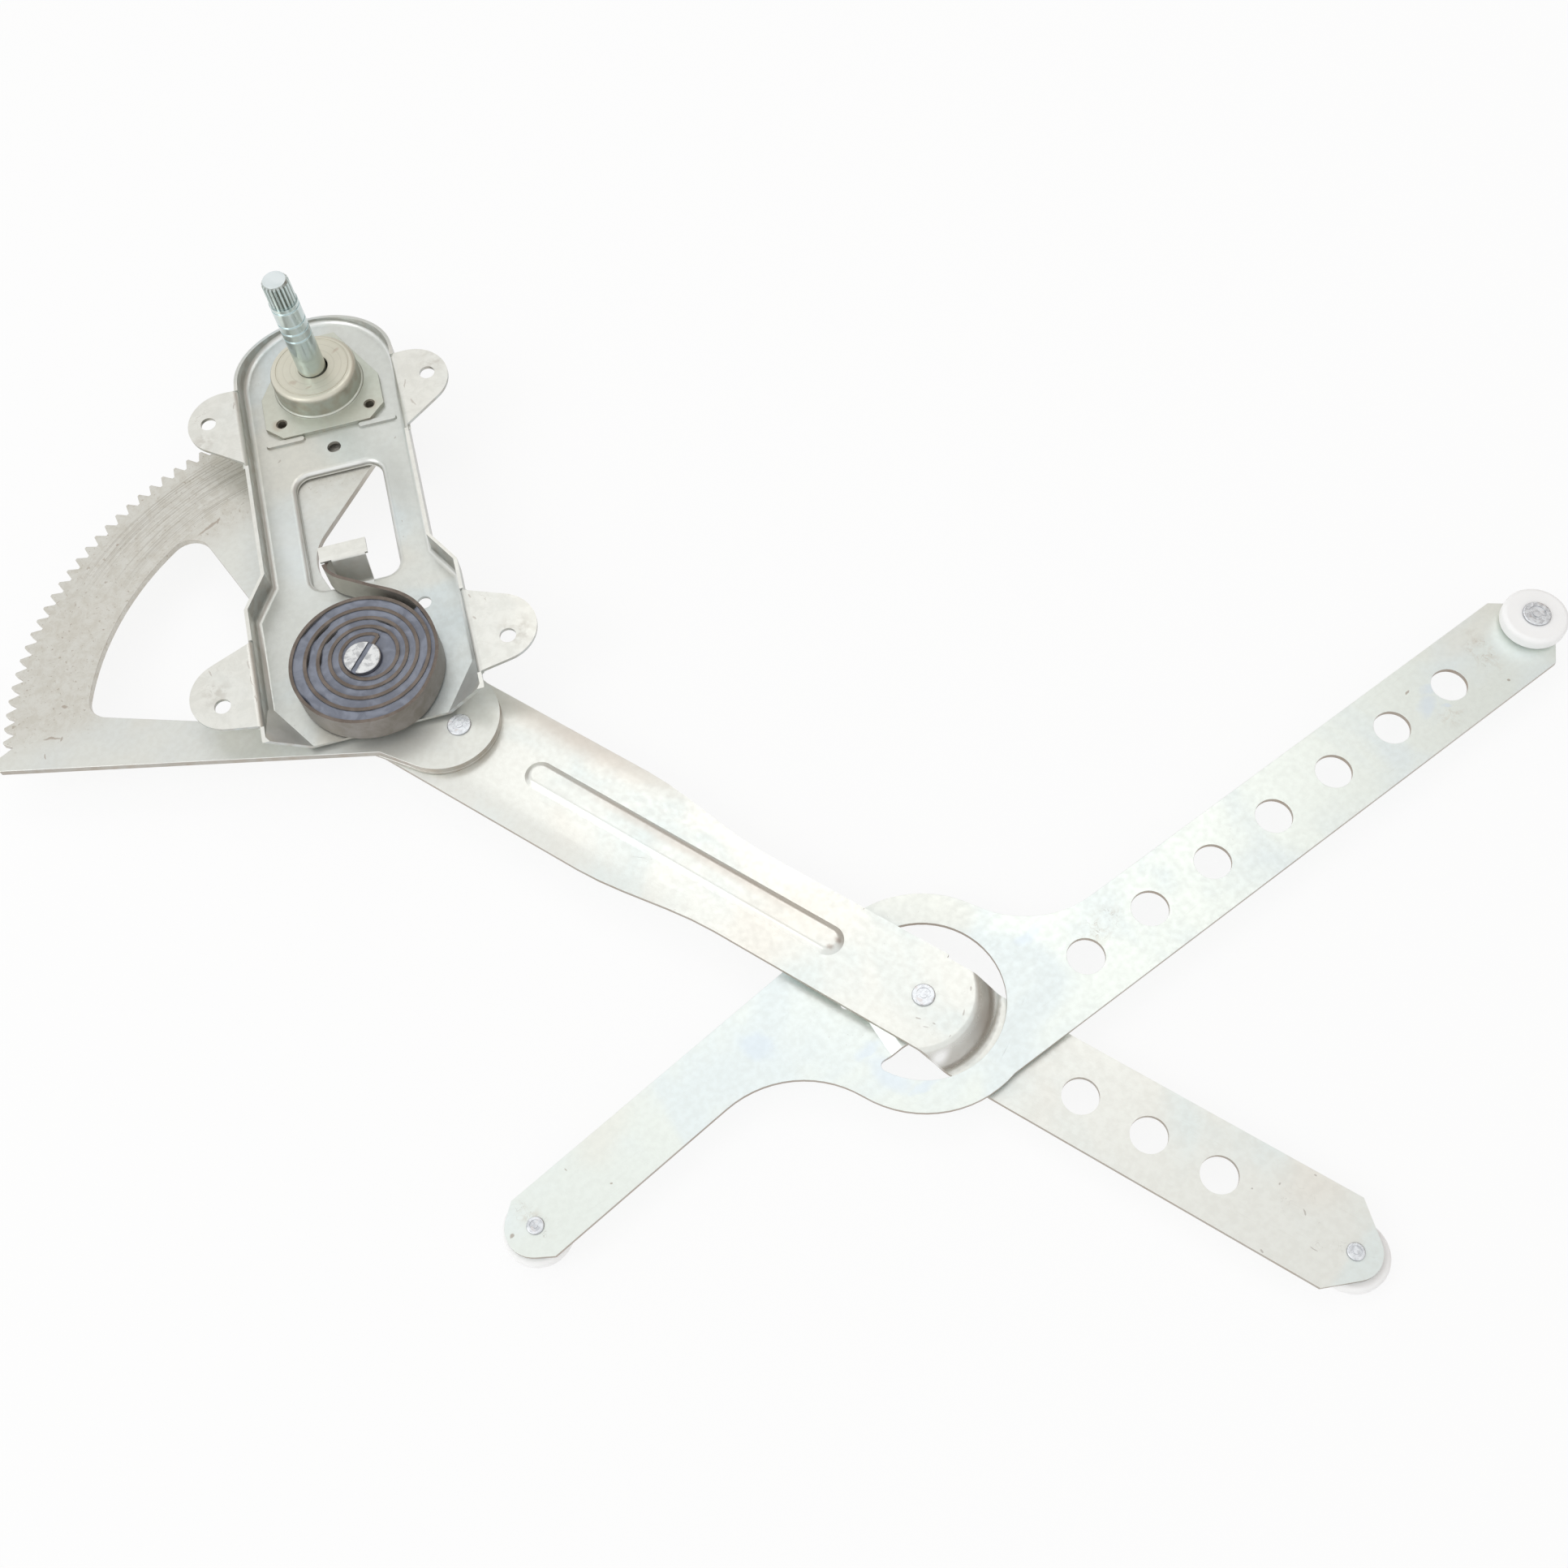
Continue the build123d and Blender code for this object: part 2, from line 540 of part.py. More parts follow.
# ---------------------------------------------------------------- crank: spindle, pinion, wrap spring
DRIVER_TOP_Z = FLOOR_Z + HOUSING_SHEET + DRIVER_THICKNESS + SIDE_GAP


def crank_spindle():
    shaft = disc(SPINDLE_R, PLAIN_SHAFT_Z, SPLINE_START_Z)
    shaft += disc(RELIEF_R, DRIVER_TOP_Z, PLAIN_SHAFT_Z)
    for height in GROOVE_Z:
        band = disc(SPINDLE_R, height - GROOVE_WIDTH / 2, height + GROOVE_WIDTH / 2)
        shaft -= band - disc(SPINDLE_R - GROOVE_DEPTH, height - GROOVE_WIDTH / 2, height + GROOVE_WIDTH / 2)
    shaft += disc(DRIVER_R, DRIVER_TOP_Z - DRIVER_THICKNESS, DRIVER_TOP_Z)
    head = disc(SPLINE_R, SPLINE_START_Z, SPINDLE_TIP_Z)
    tip_edge = head.edges().filter_by(GeomType.CIRCLE).sort_by(Axis.Z)[-1]
    tip_face = head.faces().sort_by(Axis.Z)[-1]
    head = chamfer(tip_edge, SPLINE_R - SPINDLE_TIP_R, SPINDLE_TIP_CHAMFER, reference=tip_face)
    root_r = SPLINE_R - SPLINE_DEPTH
    valley = Polyline(
        polar(root_r, 0),
        polar(SPLINE_R + SPLINE_DEPTH, -180 / SPLINE_COUNT),
        polar(SPLINE_R + SPLINE_DEPTH, 180 / SPLINE_COUNT),
        close=True,
    )
    depth = SPINDLE_TIP_Z - SPLINE_START_Z
    cutter = Pos(0, 0, SPLINE_START_Z) * extrude(make_face(valley.edges()), amount=depth)
    cutters = [Rot(0, 0, index * 360 / SPLINE_COUNT) * cutter for index in range(SPLINE_COUNT)]
    head = head.cut(*cutters)
    return Pos(0, SPINDLE_Y) * (shaft + head)


def pinion():
    pitch_half_gap = 180 / PINION_TEETH
    tip_r = PINION_PITCH_R + PINION_ADDENDUM
    root_r = PINION_PITCH_R - PINION_DEDENDUM
    base_r = PINION_PITCH_R * cos(radians(PRESSURE_ANGLE))
    mid_r = (base_r + tip_r) / 2
    outline = []
    for index in range(PINION_TEETH):
        centre = -90 + pitch_half_gap + index * 360 / PINION_TEETH
        span = {r: involute_half_angle(PINION_PITCH_R, PINION_TEETH, r) for r in (base_r, mid_r, tip_r)}
        for side, radii in ((-1, (base_r, mid_r, tip_r)), (1, (tip_r, mid_r, base_r))):
            points = [polar(r, centre + side * span[r]) for r in radii]
            foot = polar(root_r, centre + side * span[base_r])
            if side < 0:
                outline += Line(foot, points[0]).edges()
            outline += ThreePointArc(*points).edges()
            if side < 0:
                outline += Line(points[-1], polar(tip_r, centre + span[tip_r])).edges()
            else:
                outline += Line(points[-1], foot).edges()
        gap_start = centre + span[base_r]
        gap_end = centre + 360 / PINION_TEETH - span[base_r]
        outline += ThreePointArc(polar(root_r, gap_start), polar(root_r, (gap_start + gap_end) / 2),
                                 polar(root_r, gap_end)).edges()
    teeth_top = PAN_UNDER_Z - SIDE_GAP
    collar_top = DRIVER_TOP_Z - DRIVER_THICKNESS
    face_top = (SECTOR_Z + PAN_UNDER_Z) / 2
    body = plate(make_face(outline), face_top, PINION_FACE)
    body += disc(PINION_COLLAR_R, face_top, teeth_top)
    body += disc(PINION_COLLAR_R, teeth_top, collar_top)
    return Pos(0, SPINDLE_Y) * body


def wrap_spring():
    """Coil inside the housing's cup that grips it and holds the load."""
    coil_r = CUP_R - CUP_WALL - WRAP_WIRE / 2 - SIDE_GAP
    height = WRAP_TURNS * WRAP_PITCH
    low = CUP_TOP_Z - CUP_WALL - height - WRAP_WIRE
    path = Helix(pitch=WRAP_PITCH, height=height, radius=coil_r)
    section = Plane(origin=path @ 0, x_dir=(1, 0, 0), z_dir=path % 0) * Rectangle(WRAP_WIRE, WRAP_WIRE)
    return Pos(0, SPINDLE_Y, low) * sweep(section, path=path, is_frenet=True)


# ---------------------------------------------------------------- stud, bush and counterbalance spring
def pivot_stud():
    bottom = ARM_Z - ARM_SHEET
    shoulder = SECTOR_Z
    body = disc(STUD_R, shoulder, STUD_TOP_Z)
    body = chamfer(body.edges().filter_by(GeomType.CIRCLE).sort_by(Axis.Z)[-1], STUD_CHAMFER)
    body += disc(STUD_NECK_R, bottom, shoulder)
    body += disc(STUD_R, bottom - CLENCH, bottom)
    slot = block((-2 * STUD_R, 2 * STUD_R), (-STUD_SLOT / 2, STUD_SLOT / 2),
                 (STUD_TOP_Z - STUD_SLOT_DEPTH, STUD_TOP_Z))
    return Pos(0, STUD_Y) * (body - Rot(0, 0, STUD_SLOT_ANGLE) * slot)


def pivot_bush():
    inner = STUD_R + RUNNING
    body = disc(inner + BUSH_WALL, PAN_UNDER_Z, FLOOR_Z + BUSH_FLANGE / 2)
    body -= disc(inner, PAN_UNDER_Z, FLOOR_Z + BUSH_FLANGE / 2)
    return Pos(0, STUD_Y) * body


def thrust_washer():
    body = disc(STUD_R + 2 * BUSH_WALL, SECTOR_Z, PAN_UNDER_Z - SIDE_GAP)
    return Pos(0, STUD_Y) * (body - disc(STUD_R, SECTOR_Z, PAN_UNDER_Z))


def spring_radius(angle):
    """Radius of the coiled strip's centre line; the turns are not quite round about the stud."""
    turn = angle / 360
    side_shift = SPRING_SIDE_SHIFT[0] - SPRING_SIDE_SHIFT[1] * turn
    up_shift = SPRING_UP_SHIFT[0] - SPRING_UP_SHIFT[1] * turn
    even = SPRING_START_R + SPRING_PITCH * turn + SPRING_OPENING * turn ** 2
    return even + side_shift * cos(radians(angle)) + up_shift * sin(radians(angle))


def spring_path():
    """Centre line of the coiled strip, from the stud's slot out to the hook tab."""
    turn = SPRING_END_ANGLE - STUD_SLOT_ANGLE
    steps = ceil(turn / SPRING_STEP_ANGLE)
    angles = [STUD_SLOT_ANGLE + turn * index / steps for index in range(steps + 1)]
    coil = [polar(spring_radius(angle), angle) for angle in angles]
    web_y = WINDOW_Y[0] + HOOK_LEAN / 2 - STUD_Y
    web_x = HOOK_WEB_X[0]
    hook = [(web_x + x, web_y + y) for x, y in SPRING_HOOK]
    return [*coil, *SPRING_TAIL, *hook]


def strip_edge(path, shift):
    """Curve beside a path, at a distance to its left."""
    points = []
    for index, point in enumerate(path):
        before = path[max(index - 1, 0)]
        after = path[min(index + 1, len(path) - 1)]
        dx = after[0] - before[0]
        dy = after[1] - before[1]
        points.append((point[0] - shift * dy / hypot(dx, dy), point[1] + shift * dx / hypot(dx, dy)))
    return points


def counterbalance_spring():
    path = spring_path()
    left = strip_edge(path, SPRING_STRIP / 2)
    right = strip_edge(path, -SPRING_STRIP / 2)
    outline = Spline(*left).edges() + Line(left[-1], right[-1]).edges()
    outline += Spline(*reversed(right)).edges() + Line(right[0], left[0]).edges()
    body = Pos(0, 0, SPRING_Z[0]) * extrude(make_face(outline), amount=SPRING_Z[1] - SPRING_Z[0])
    lug = block((0, spring_radius(STUD_SLOT_ANGLE)), (-SPRING_STRIP / 2, SPRING_STRIP / 2),
                (STUD_TOP_Z - STUD_SLOT_DEPTH + SIDE_GAP, SPRING_Z[1]))
    body += Rot(0, 0, STUD_SLOT_ANGLE) * lug
    head_y = WINDOW_Y[0] - PAN_SHEET + HOOK_LEAN - STUD_Y
    notch_x = (HOOK_HEAD_X[0] - SIDE_GAP, HOOK_HEAD_X[1] + SIDE_GAP)
    notch_y = (head_y - SPRING_NOTCH, head_y + HOOK_HEAD_LENGTH + SPRING_NOTCH)
    body -= block(notch_x, notch_y, (HOOK_TOP_Z - PAN_SHEET - SIDE_GAP, 2 * SPRING_Z[1]))
    return Pos(0, STUD_Y) * body


# ---------------------------------------------------------------- sector gear and spacer plate
def lobe_corner(point, side):
    """Where a line from the point touches the lobe's circle."""
    dx = point[0] - LOBE_CENTRE[0]
    dy = point[1] - LOBE_CENTRE[1]
    angle = atan2(dy, dx) + side * acos(LOBE_R / hypot(dx, dy))
    return (LOBE_CENTRE[0] + LOBE_R * cos(angle), LOBE_CENTRE[1] + LOBE_R * sin(angle))


def sector_outline():
    tip_r = SECTOR_PITCH_R + SECTOR_ADDENDUM
    root_r = SECTOR_PITCH_R - SECTOR_DEDENDUM
    pitch = 360 / SECTOR_CIRCLE_TEETH
    root_half = involute_half_angle(SECTOR_PITCH_R, SECTOR_CIRCLE_TEETH, root_r)
    tip_half = involute_half_angle(SECTOR_PITCH_R, SECTOR_CIRCLE_TEETH, tip_r)
    points = []
    for index in range(-SECTOR_TEETH_RIGHT, SECTOR_TEETH_LEFT + 1):
        centre = 90 + index * pitch
        points.append(polar(root_r, centre - root_half))
        points.append(polar(tip_r, centre - tip_half))
        points.append(polar(tip_r, centre + tip_half))
        points.append(polar(root_r, centre + root_half))
    last = 90 + (SECTOR_TEETH_LEFT + 0.5) * pitch
    points.append(polar(root_r, last))
    points += [*SECTOR_STUB, SECTOR_HEEL]
    heel_touch = lobe_corner(SECTOR_HEEL, 1)
    hub_side, hub_mid, hub_top = [polar(SECTOR_HUB_R, angle) for angle in SECTOR_HUB_ARC]
    hub_touch = lobe_corner(hub_side, -1)
    lobe_reach = polar(LOBE_R, LOBE_MID_ANGLE)
    lobe_far = (LOBE_CENTRE[0] + lobe_reach[0], LOBE_CENTRE[1] + lobe_reach[1])
    first = 90 - (SECTOR_TEETH_RIGHT + 0.5) * pitch
    first_root = polar(root_r, first)
    outline = Polyline(first_root, *points, heel_touch).edges()
    outline += ThreePointArc(heel_touch, lobe_far, hub_touch).edges()
    outline += Line(hub_touch, hub_side).edges()
    outline += ThreePointArc(hub_side, hub_mid, hub_top).edges()
    outline += Line(hub_top, SECTOR_WAIST).edges()
    outline += FilletPolyline(SECTOR_WAIST, SECTOR_FLANK_CORNER, first_root, radius=SECTOR_FLANK_R).edges()
    return make_face(outline)


def beyond(line, reach):
    """Point before the start of a line that is given by two points."""
    (ax, ay), (bx, by) = line
    share = reach / hypot(bx - ax, by - ay)
    return (ax - share * (bx - ax), ay - share * (by - ay))


def crossing(first_line, second_line):
    """Where two lines, each given by two points, cross."""
    (ax, ay), (bx, by) = first_line
    (cx, cy), (dx, dy) = second_line
    denominator = (bx - ax) * (dy - cy) - (by - ay) * (dx - cx)
    share = ((cx - ax) * (dy - cy) - (cy - ay) * (dx - cx)) / denominator
    return (ax + share * (bx - ax), ay + share * (by - ay))


def sector_window():
    """Three-sided window between the sector's rim, its two spokes and its hub."""
    apex = crossing(SPOKE_RIGHT, SPOKE_BOTTOM)
    reach = 2 * SECTOR_PITCH_R
    corners = (apex, beyond(SPOKE_RIGHT, reach), beyond(SPOKE_BOTTOM, reach))
    wedge = make_face(Polyline(*corners, close=True).edges())
    outer_r = SECTOR_PITCH_R - SECTOR_DEDENDUM - SECTOR_RIM
    window = (Circle(outer_r) & wedge) - Circle(SECTOR_WINDOW_HUB_R)
    return fillet(window.vertices(), SECTOR_WINDOW_R)


def sector_gear():
    sketch = sector_outline() - sector_window()
    sketch -= Circle(STUD_NECK_R)
    for x, y in (SECTOR_RIVET, SECTOR_RIVET_HIDDEN):
        sketch -= Pos(x, y) * Circle(PIN_R)
    return Pos(0, STUD_Y) * plate(sketch, SECTOR_Z, SECTOR_SHEET)


def spacer_plate():
    """Thin plate under the sector's lobe that spaces the lift arm from it."""
    lobe = Pos(*LOBE_CENTRE) * Circle(LOBE_R)
    hull = make_hull(lobe.edges() + Circle(SECTOR_HUB_R - BUSH_WALL).edges())
    sketch = hull - Circle(STUD_NECK_R)
    for x, y in (SECTOR_RIVET, SECTOR_RIVET_HIDDEN):
        sketch -= Pos(x, y) * Circle(PIN_R)
    return Pos(0, STUD_Y) * plate(sketch, SPACER_Z, SPACER_SHEET)


def sector_rivet(place):
    body = rivet(PIN_R, SECTOR_RIVET_R, PIN_HEAD, SECTOR_Z, ARM_Z - ARM_SHEET, CLENCH_R, CLENCH)
    return Pos(place[0], place[1] + STUD_Y) * body


# ---------------------------------------------------------------- lift arm
ARM_PLACE = Pos(0, STUD_Y) * Rot(0, 0, ARM_ANGLE)


def flanged_section(station, low, high, drop):
    """Cross-section of the lift arm: flat in its middle, with softly turned-down edges."""
    flat_low = low + ARM_EDGE_BAND
    flat_high = high - ARM_EDGE_BAND
    mid = ARM_EDGE_BAND / 2
    quarter = drop / 4
    outline = []
    for z in (ARM_Z, ARM_Z - ARM_SHEET):
        outline += ThreePointArc((low, z - drop), (flat_low - mid, z - quarter), (flat_low, z)).edges()
        outline += Line((flat_low, z), (flat_high, z)).edges()
        outline += ThreePointArc((flat_high, z), (flat_high + mid, z - quarter), (high, z - drop)).edges()
    for edge_y in (low, high):
        outline += Line((edge_y, ARM_Z - drop), (edge_y, ARM_Z - drop - ARM_SHEET)).edges()
    return Plane(origin=(station, 0, 0), x_dir=(0, 1, 0), z_dir=(1, 0, 0)) * make_face(outline)


def bead(base_z):
    """Flat-topped bead along the lift arm; the same shape one sheet lower is its hollow underside."""
    length = BEAD_END - BEAD_START
    swell = extrude(SlotCenterToCenter(length, 2 * BEAD_HALF), amount=BEAD_HEIGHT, taper=BEAD_SLOPE)
    swell = fillet(swell.edges().group_by(Axis.Z)[-1], BEAD_CROWN_R)
    return Pos((BEAD_START + BEAD_END) / 2, BEAD_ASIDE, base_z) * Rot(0, 0, BEAD_SKEW) * swell


def main_arm():
    low = ARM_INNER_OFFSET - ARM_INNER_HALF
    high = ARM_INNER_OFFSET + ARM_INNER_HALF
    fade_end = ARM_FLANGED_LENGTH + ARM_FADE_LENGTH
    end_disc = plate(Pos(0, ARM_INNER_OFFSET) * Circle(ARM_INNER_HALF), ARM_Z, ARM_SHEET)
    sections = [flanged_section(0, low, high, ARM_EDGE_DROP)]
    for index in range(ARM_FADE_STEPS + 1):
        share = index / ARM_FADE_STEPS
        eased = share * share * (3 - 2 * share)
        sections.append(flanged_section(
            ARM_FLANGED_LENGTH + share * ARM_FADE_LENGTH,
            low + eased * (-ARM_WAIST_HALF - low),
            high + eased * (ARM_WAIST_HALF - high),
            ARM_EDGE_DROP + eased * (ARM_FADE_DROP - ARM_EDGE_DROP),
        ))
    flanged = loft(sections, ruled=True)
    waist = make_face(Polyline(
        (fade_end, -ARM_WAIST_HALF), (SCISSOR_DISTANCE, -ARM_STEP_HALF),
        (SCISSOR_DISTANCE, ARM_STEP_HALF), (fade_end, ARM_WAIST_HALF), close=True).edges())
    body = end_disc + flanged + plate(waist, ARM_Z, ARM_SHEET)
    body += stepped_end()
    body += bead(ARM_Z)
    body -= bead(ARM_Z - ARM_SHEET)
    body -= disc(STUD_NECK_R, ARM_Z - ARM_SHEET, ARM_Z)
    body -= Pos(SCISSOR_DISTANCE, 0) * disc(SCISSOR_RIVET_R, ARM_Z - ARM_SHEET, ARM_Z)
    pin_place = Pos(LIFT_ROLLER_DISTANCE, LIFT_ROLLER_OFFSET)
    body -= pin_place * disc(PIN_R, ARM_OUTER_Z - ARM_SHEET, ARM_OUTER_Z)
    for index in range(LIFT_HOLES):
        hole = disc(LIFT_HOLE_R, ARM_OUTER_Z - ARM_SHEET, ARM_OUTER_Z)
        body -= Pos(LIFT_HOLE_FIRST + index * LIFT_HOLE_PITCH, LIFT_ROLLER_OFFSET) * hole
    body = ARM_PLACE * body
    for x, y in (SECTOR_RIVET, SECTOR_RIVET_HIDDEN):
        body -= Pos(x, y + STUD_Y) * disc(PIN_R, ARM_Z - 2 * ARM_SHEET, ARM_Z)
    return body


def stepped_end():
    """The arm beyond the scissor pivot: a rounded step down, then a flat end."""
    back = JOGGLE_CENTRE_BACK
    reach = back + LIFT_ROLLER_DISTANCE - SCISSOR_DISTANCE + 2 * ARM_END_R
    points = [
        (0, ARM_Z),
        (back + JOGGLE_START, ARM_Z),
        (back + JOGGLE_END, ARM_OUTER_Z),
        (reach, ARM_OUTER_Z),
    ]
    dish = revolve(sheet_section(points, JOGGLE_BEND_R, ARM_SHEET), axis=Axis.Z)
    low = LIFT_ROLLER_OFFSET - ARM_OUTER_HALF
    high = LIFT_ROLLER_OFFSET + ARM_OUTER_HALF
    tip_centre = (LIFT_ROLLER_DISTANCE - ARM_END_BACK, LIFT_ROLLER_OFFSET)
    corner = LIFT_ROLLER_DISTANCE - ARM_END_CORNER_BACK
    outline = arm_blank(SCISSOR_DISTANCE, corner, -ARM_STEP_HALF, high, tip_centre, ARM_END_R)
    trim = arm_blank(SCISSOR_DISTANCE, corner, low, ARM_STEP_HALF, tip_centre, ARM_END_R)
    blank = plate(outline & trim, ARM_Z + ARM_SHEET, 2 * ARM_JOGGLE)
    return (Pos(SCISSOR_DISTANCE - back, 0) * dish) & blank


# ---------------------------------------------------------------- equalizer arm
PIVOT_XY = (SCISSOR_DISTANCE * cos(radians(ARM_ANGLE)), SCISSOR_DISTANCE * sin(radians(ARM_ANGLE)) + STUD_Y)
PIVOT_PLACE = Pos(*PIVOT_XY)


LONG_ARM_SIDES = (LONG_ARM_MID - LONG_ARM_HALF, LONG_ARM_MID + LONG_ARM_HALF)
SHORT_ARM_SIDES = (SHORT_ARM_MID - SHORT_ARM_HALF, SHORT_ARM_MID + SHORT_ARM_HALF)
CHANNEL_ROLLER_PLACE = (LONG_ARM_CORNER + CHANNEL_ROLLER_AHEAD, LONG_ARM_MID + CHANNEL_ROLLER_ASIDE)
TAIL_ROLLER_PLACE = (SHORT_ARM_CORNER + TAIL_ROLLER_AHEAD, SHORT_ARM_MID + TAIL_ROLLER_ASIDE)


def crotch(side, arm_angle):
    """Fill between the ring and an arm's inner side, bounded by a concave arc."""
    centre_t = side + CROTCH_R
    centre_s = sqrt((RING_R + CROTCH_R) ** 2 - centre_t ** 2)
    touch = (centre_s, side)
    share = RING_R / (RING_R + CROTCH_R)
    ring_touch = (centre_s * share, centre_t * share)
    root = (ring_touch[0] / 2, (ring_touch[1] + side) / 2 - ARM_SHEET)
    corners = ((0, side - ARM_SHEET), (centre_s, side - ARM_SHEET), touch, (centre_s, centre_t))
    wedge = make_face(Polyline(*corners, ring_touch, root, close=True).edges())
    wedge -= Pos(centre_s, centre_t) * Circle(CROTCH_R)
    return Rot(0, 0, arm_angle) * wedge


def equalizer_arm():
    long_blank = arm_blank(0, LONG_ARM_CORNER, *LONG_ARM_SIDES, CHANNEL_ROLLER_PLACE, LONG_END_R)
    short_blank = arm_blank(0, SHORT_ARM_CORNER, *SHORT_ARM_SIDES, TAIL_ROLLER_PLACE, SHORT_END_R)
    for index in range(LONG_HOLES):
        hole_s = LONG_HOLE_FIRST + index * LONG_HOLE_PITCH
        long_blank -= Pos(hole_s, CHANNEL_ROLLER_PLACE[1]) * Circle(LONG_HOLE_R)
    long_blank -= Pos(*CHANNEL_ROLLER_PLACE) * Circle(PIN_R)
    short_blank -= Pos(*TAIL_ROLLER_PLACE) * Circle(PIN_R)
    sketch = Circle(RING_R) + Rot(0, 0, LONG_ARM_ANGLE) * long_blank
    sketch += Rot(0, 0, SHORT_ARM_ANGLE) * short_blank
    sketch += crotch(LONG_ARM_SIDES[1], LONG_ARM_ANGLE)
    sketch += crotch(SHORT_ARM_SIDES[1], SHORT_ARM_ANGLE)
    body = plate(sketch - ring_opening(), EQUALIZER_Z, ARM_SHEET)
    return PIVOT_PLACE * (body + pivot_tab())


def ring_opening():
    """Opening of the ring, less the root of the tongue; the corners between them are round."""
    root_start = TAB_STEP_START + TAB_STEP_LENGTH + TAB_BEND_R
    root = Pos(root_start + RING_R / 2, 0) * Rectangle(RING_R, 2 * TAB_HALF)
    opening = Circle(RING_OPENING_R) - Rot(0, 0, TAB_ANGLE) * root
    corners = opening.vertices().sort_by_distance((0, 0))[-2:]
    return fillet(corners, TAB_CORNER_R)


def pivot_tab():
    """Tongue from the ring in to the pivot, stepped up against the lift arm's underside."""
    step_end = TAB_STEP_START + TAB_STEP_LENGTH
    points = [(-TAB_HALF, TAB_Z), (TAB_STEP_START, TAB_Z), (step_end, EQUALIZER_Z),
              (RING_OPENING_R + TAB_ROOT_R, EQUALIZER_Z)]
    section = sheet_section(points, TAB_BEND_R, ARM_SHEET)
    strip = extrude(section, amount=2 * TAB_HALF, both=True)
    root = Circle(RING_OPENING_R + TAB_ROOT_R) & Pos(RING_OPENING_R / 2, 0) * Rectangle(
        RING_OPENING_R + 4 * TAB_ROOT_R, 2 * TAB_HALF)
    outline = root + Circle(TAB_HALF)
    blank = plate(outline, TAB_Z + ARM_SHEET, 4 * ARM_SHEET)
    bore = disc(SCISSOR_RIVET_R + RUNNING, TAB_Z - ARM_SHEET, TAB_Z)
    return Rot(0, 0, TAB_ANGLE) * (strip & blank) - bore


# ---------------------------------------------------------------- scissor pivot and rollers
def scissor_rivet():
    bottom = TAB_Z - ARM_SHEET - RUNNING
    body = rivet(SCISSOR_RIVET_R, SCISSOR_HEAD_R, SCISSOR_HEAD, ARM_Z, bottom, SCISSOR_CLENCH_R, CLENCH)
    return PIVOT_PLACE * body


def scissor_washer():
    low = TAB_Z + RUNNING
    body = disc(SCISSOR_WASHER_R, low, ARM_Z - ARM_SHEET) - disc(SCISSOR_RIVET_R, low, ARM_Z - ARM_SHEET)
    return PIVOT_PLACE * body


def turned_place(angle, place):
    """Place of a point of the equalizer, given along and across one of its arms."""
    x = PIVOT_XY[0] + place[0] * cos(radians(angle)) - place[1] * sin(radians(angle))
    y = PIVOT_XY[1] + place[0] * sin(radians(angle)) + place[1] * cos(radians(angle))
    return (x, y)


CHANNEL_PIN = turned_place(LONG_ARM_ANGLE, CHANNEL_ROLLER_PLACE)
TAIL_PIN = turned_place(SHORT_ARM_ANGLE, TAIL_ROLLER_PLACE)
LIFT_PIN = (
    LIFT_ROLLER_DISTANCE * cos(radians(ARM_ANGLE)) - LIFT_ROLLER_OFFSET * sin(radians(ARM_ANGLE)),
    LIFT_ROLLER_DISTANCE * sin(radians(ARM_ANGLE)) + LIFT_ROLLER_OFFSET * cos(radians(ARM_ANGLE)) + STUD_Y,
)


def hanging_pin(place, sheet_top, boss):
    """Pin of a roller below its arm: a rivet head above, a spacing boss, a shank and a foot."""
    sheet_under = sheet_top - ARM_SHEET
    foot_z = sheet_under - boss - ROLLER_THICKNESS - SIDE_GAP
    body = rivet(PIN_R, PIN_HEAD_R, PIN_HEAD, sheet_top, foot_z, CLENCH_R, CLENCH)
    body += disc(BOSS_R, sheet_under - boss, sheet_under)
    return Pos(*place) * body


def standing_pin(place):
    """Pin of the roller above the equalizer: its head is over the roller."""
    top = EQUALIZER_Z + CHANNEL_BOSS + ROLLER_THICKNESS + SIDE_GAP
    body = rivet(PIN_R, CHANNEL_PIN_HEAD_R, PIN_HEAD, top, EQUALIZER_Z - ARM_SHEET, CLENCH_R, CLENCH)
    body += disc(BOSS_R, EQUALIZER_Z, EQUALIZER_Z + CHANNEL_BOSS)
    return Pos(*place) * body


def roller(place, low, radius):
    """Nylon roller with rounded rims."""
    body = disc(radius, low, low + ROLLER_THICKNESS)
    body = fillet(body.edges().filter_by(GeomType.CIRCLE), ROLLER_EDGE)
    body -= disc(PIN_R + RUNNING, low, low + ROLLER_THICKNESS)
    return Pos(*place) * body


def hanging_roller(place, sheet_top, boss):
    top = sheet_top - ARM_SHEET - boss - SIDE_GAP / 2
    return roller(place, top - ROLLER_THICKNESS, ROLLER_R)


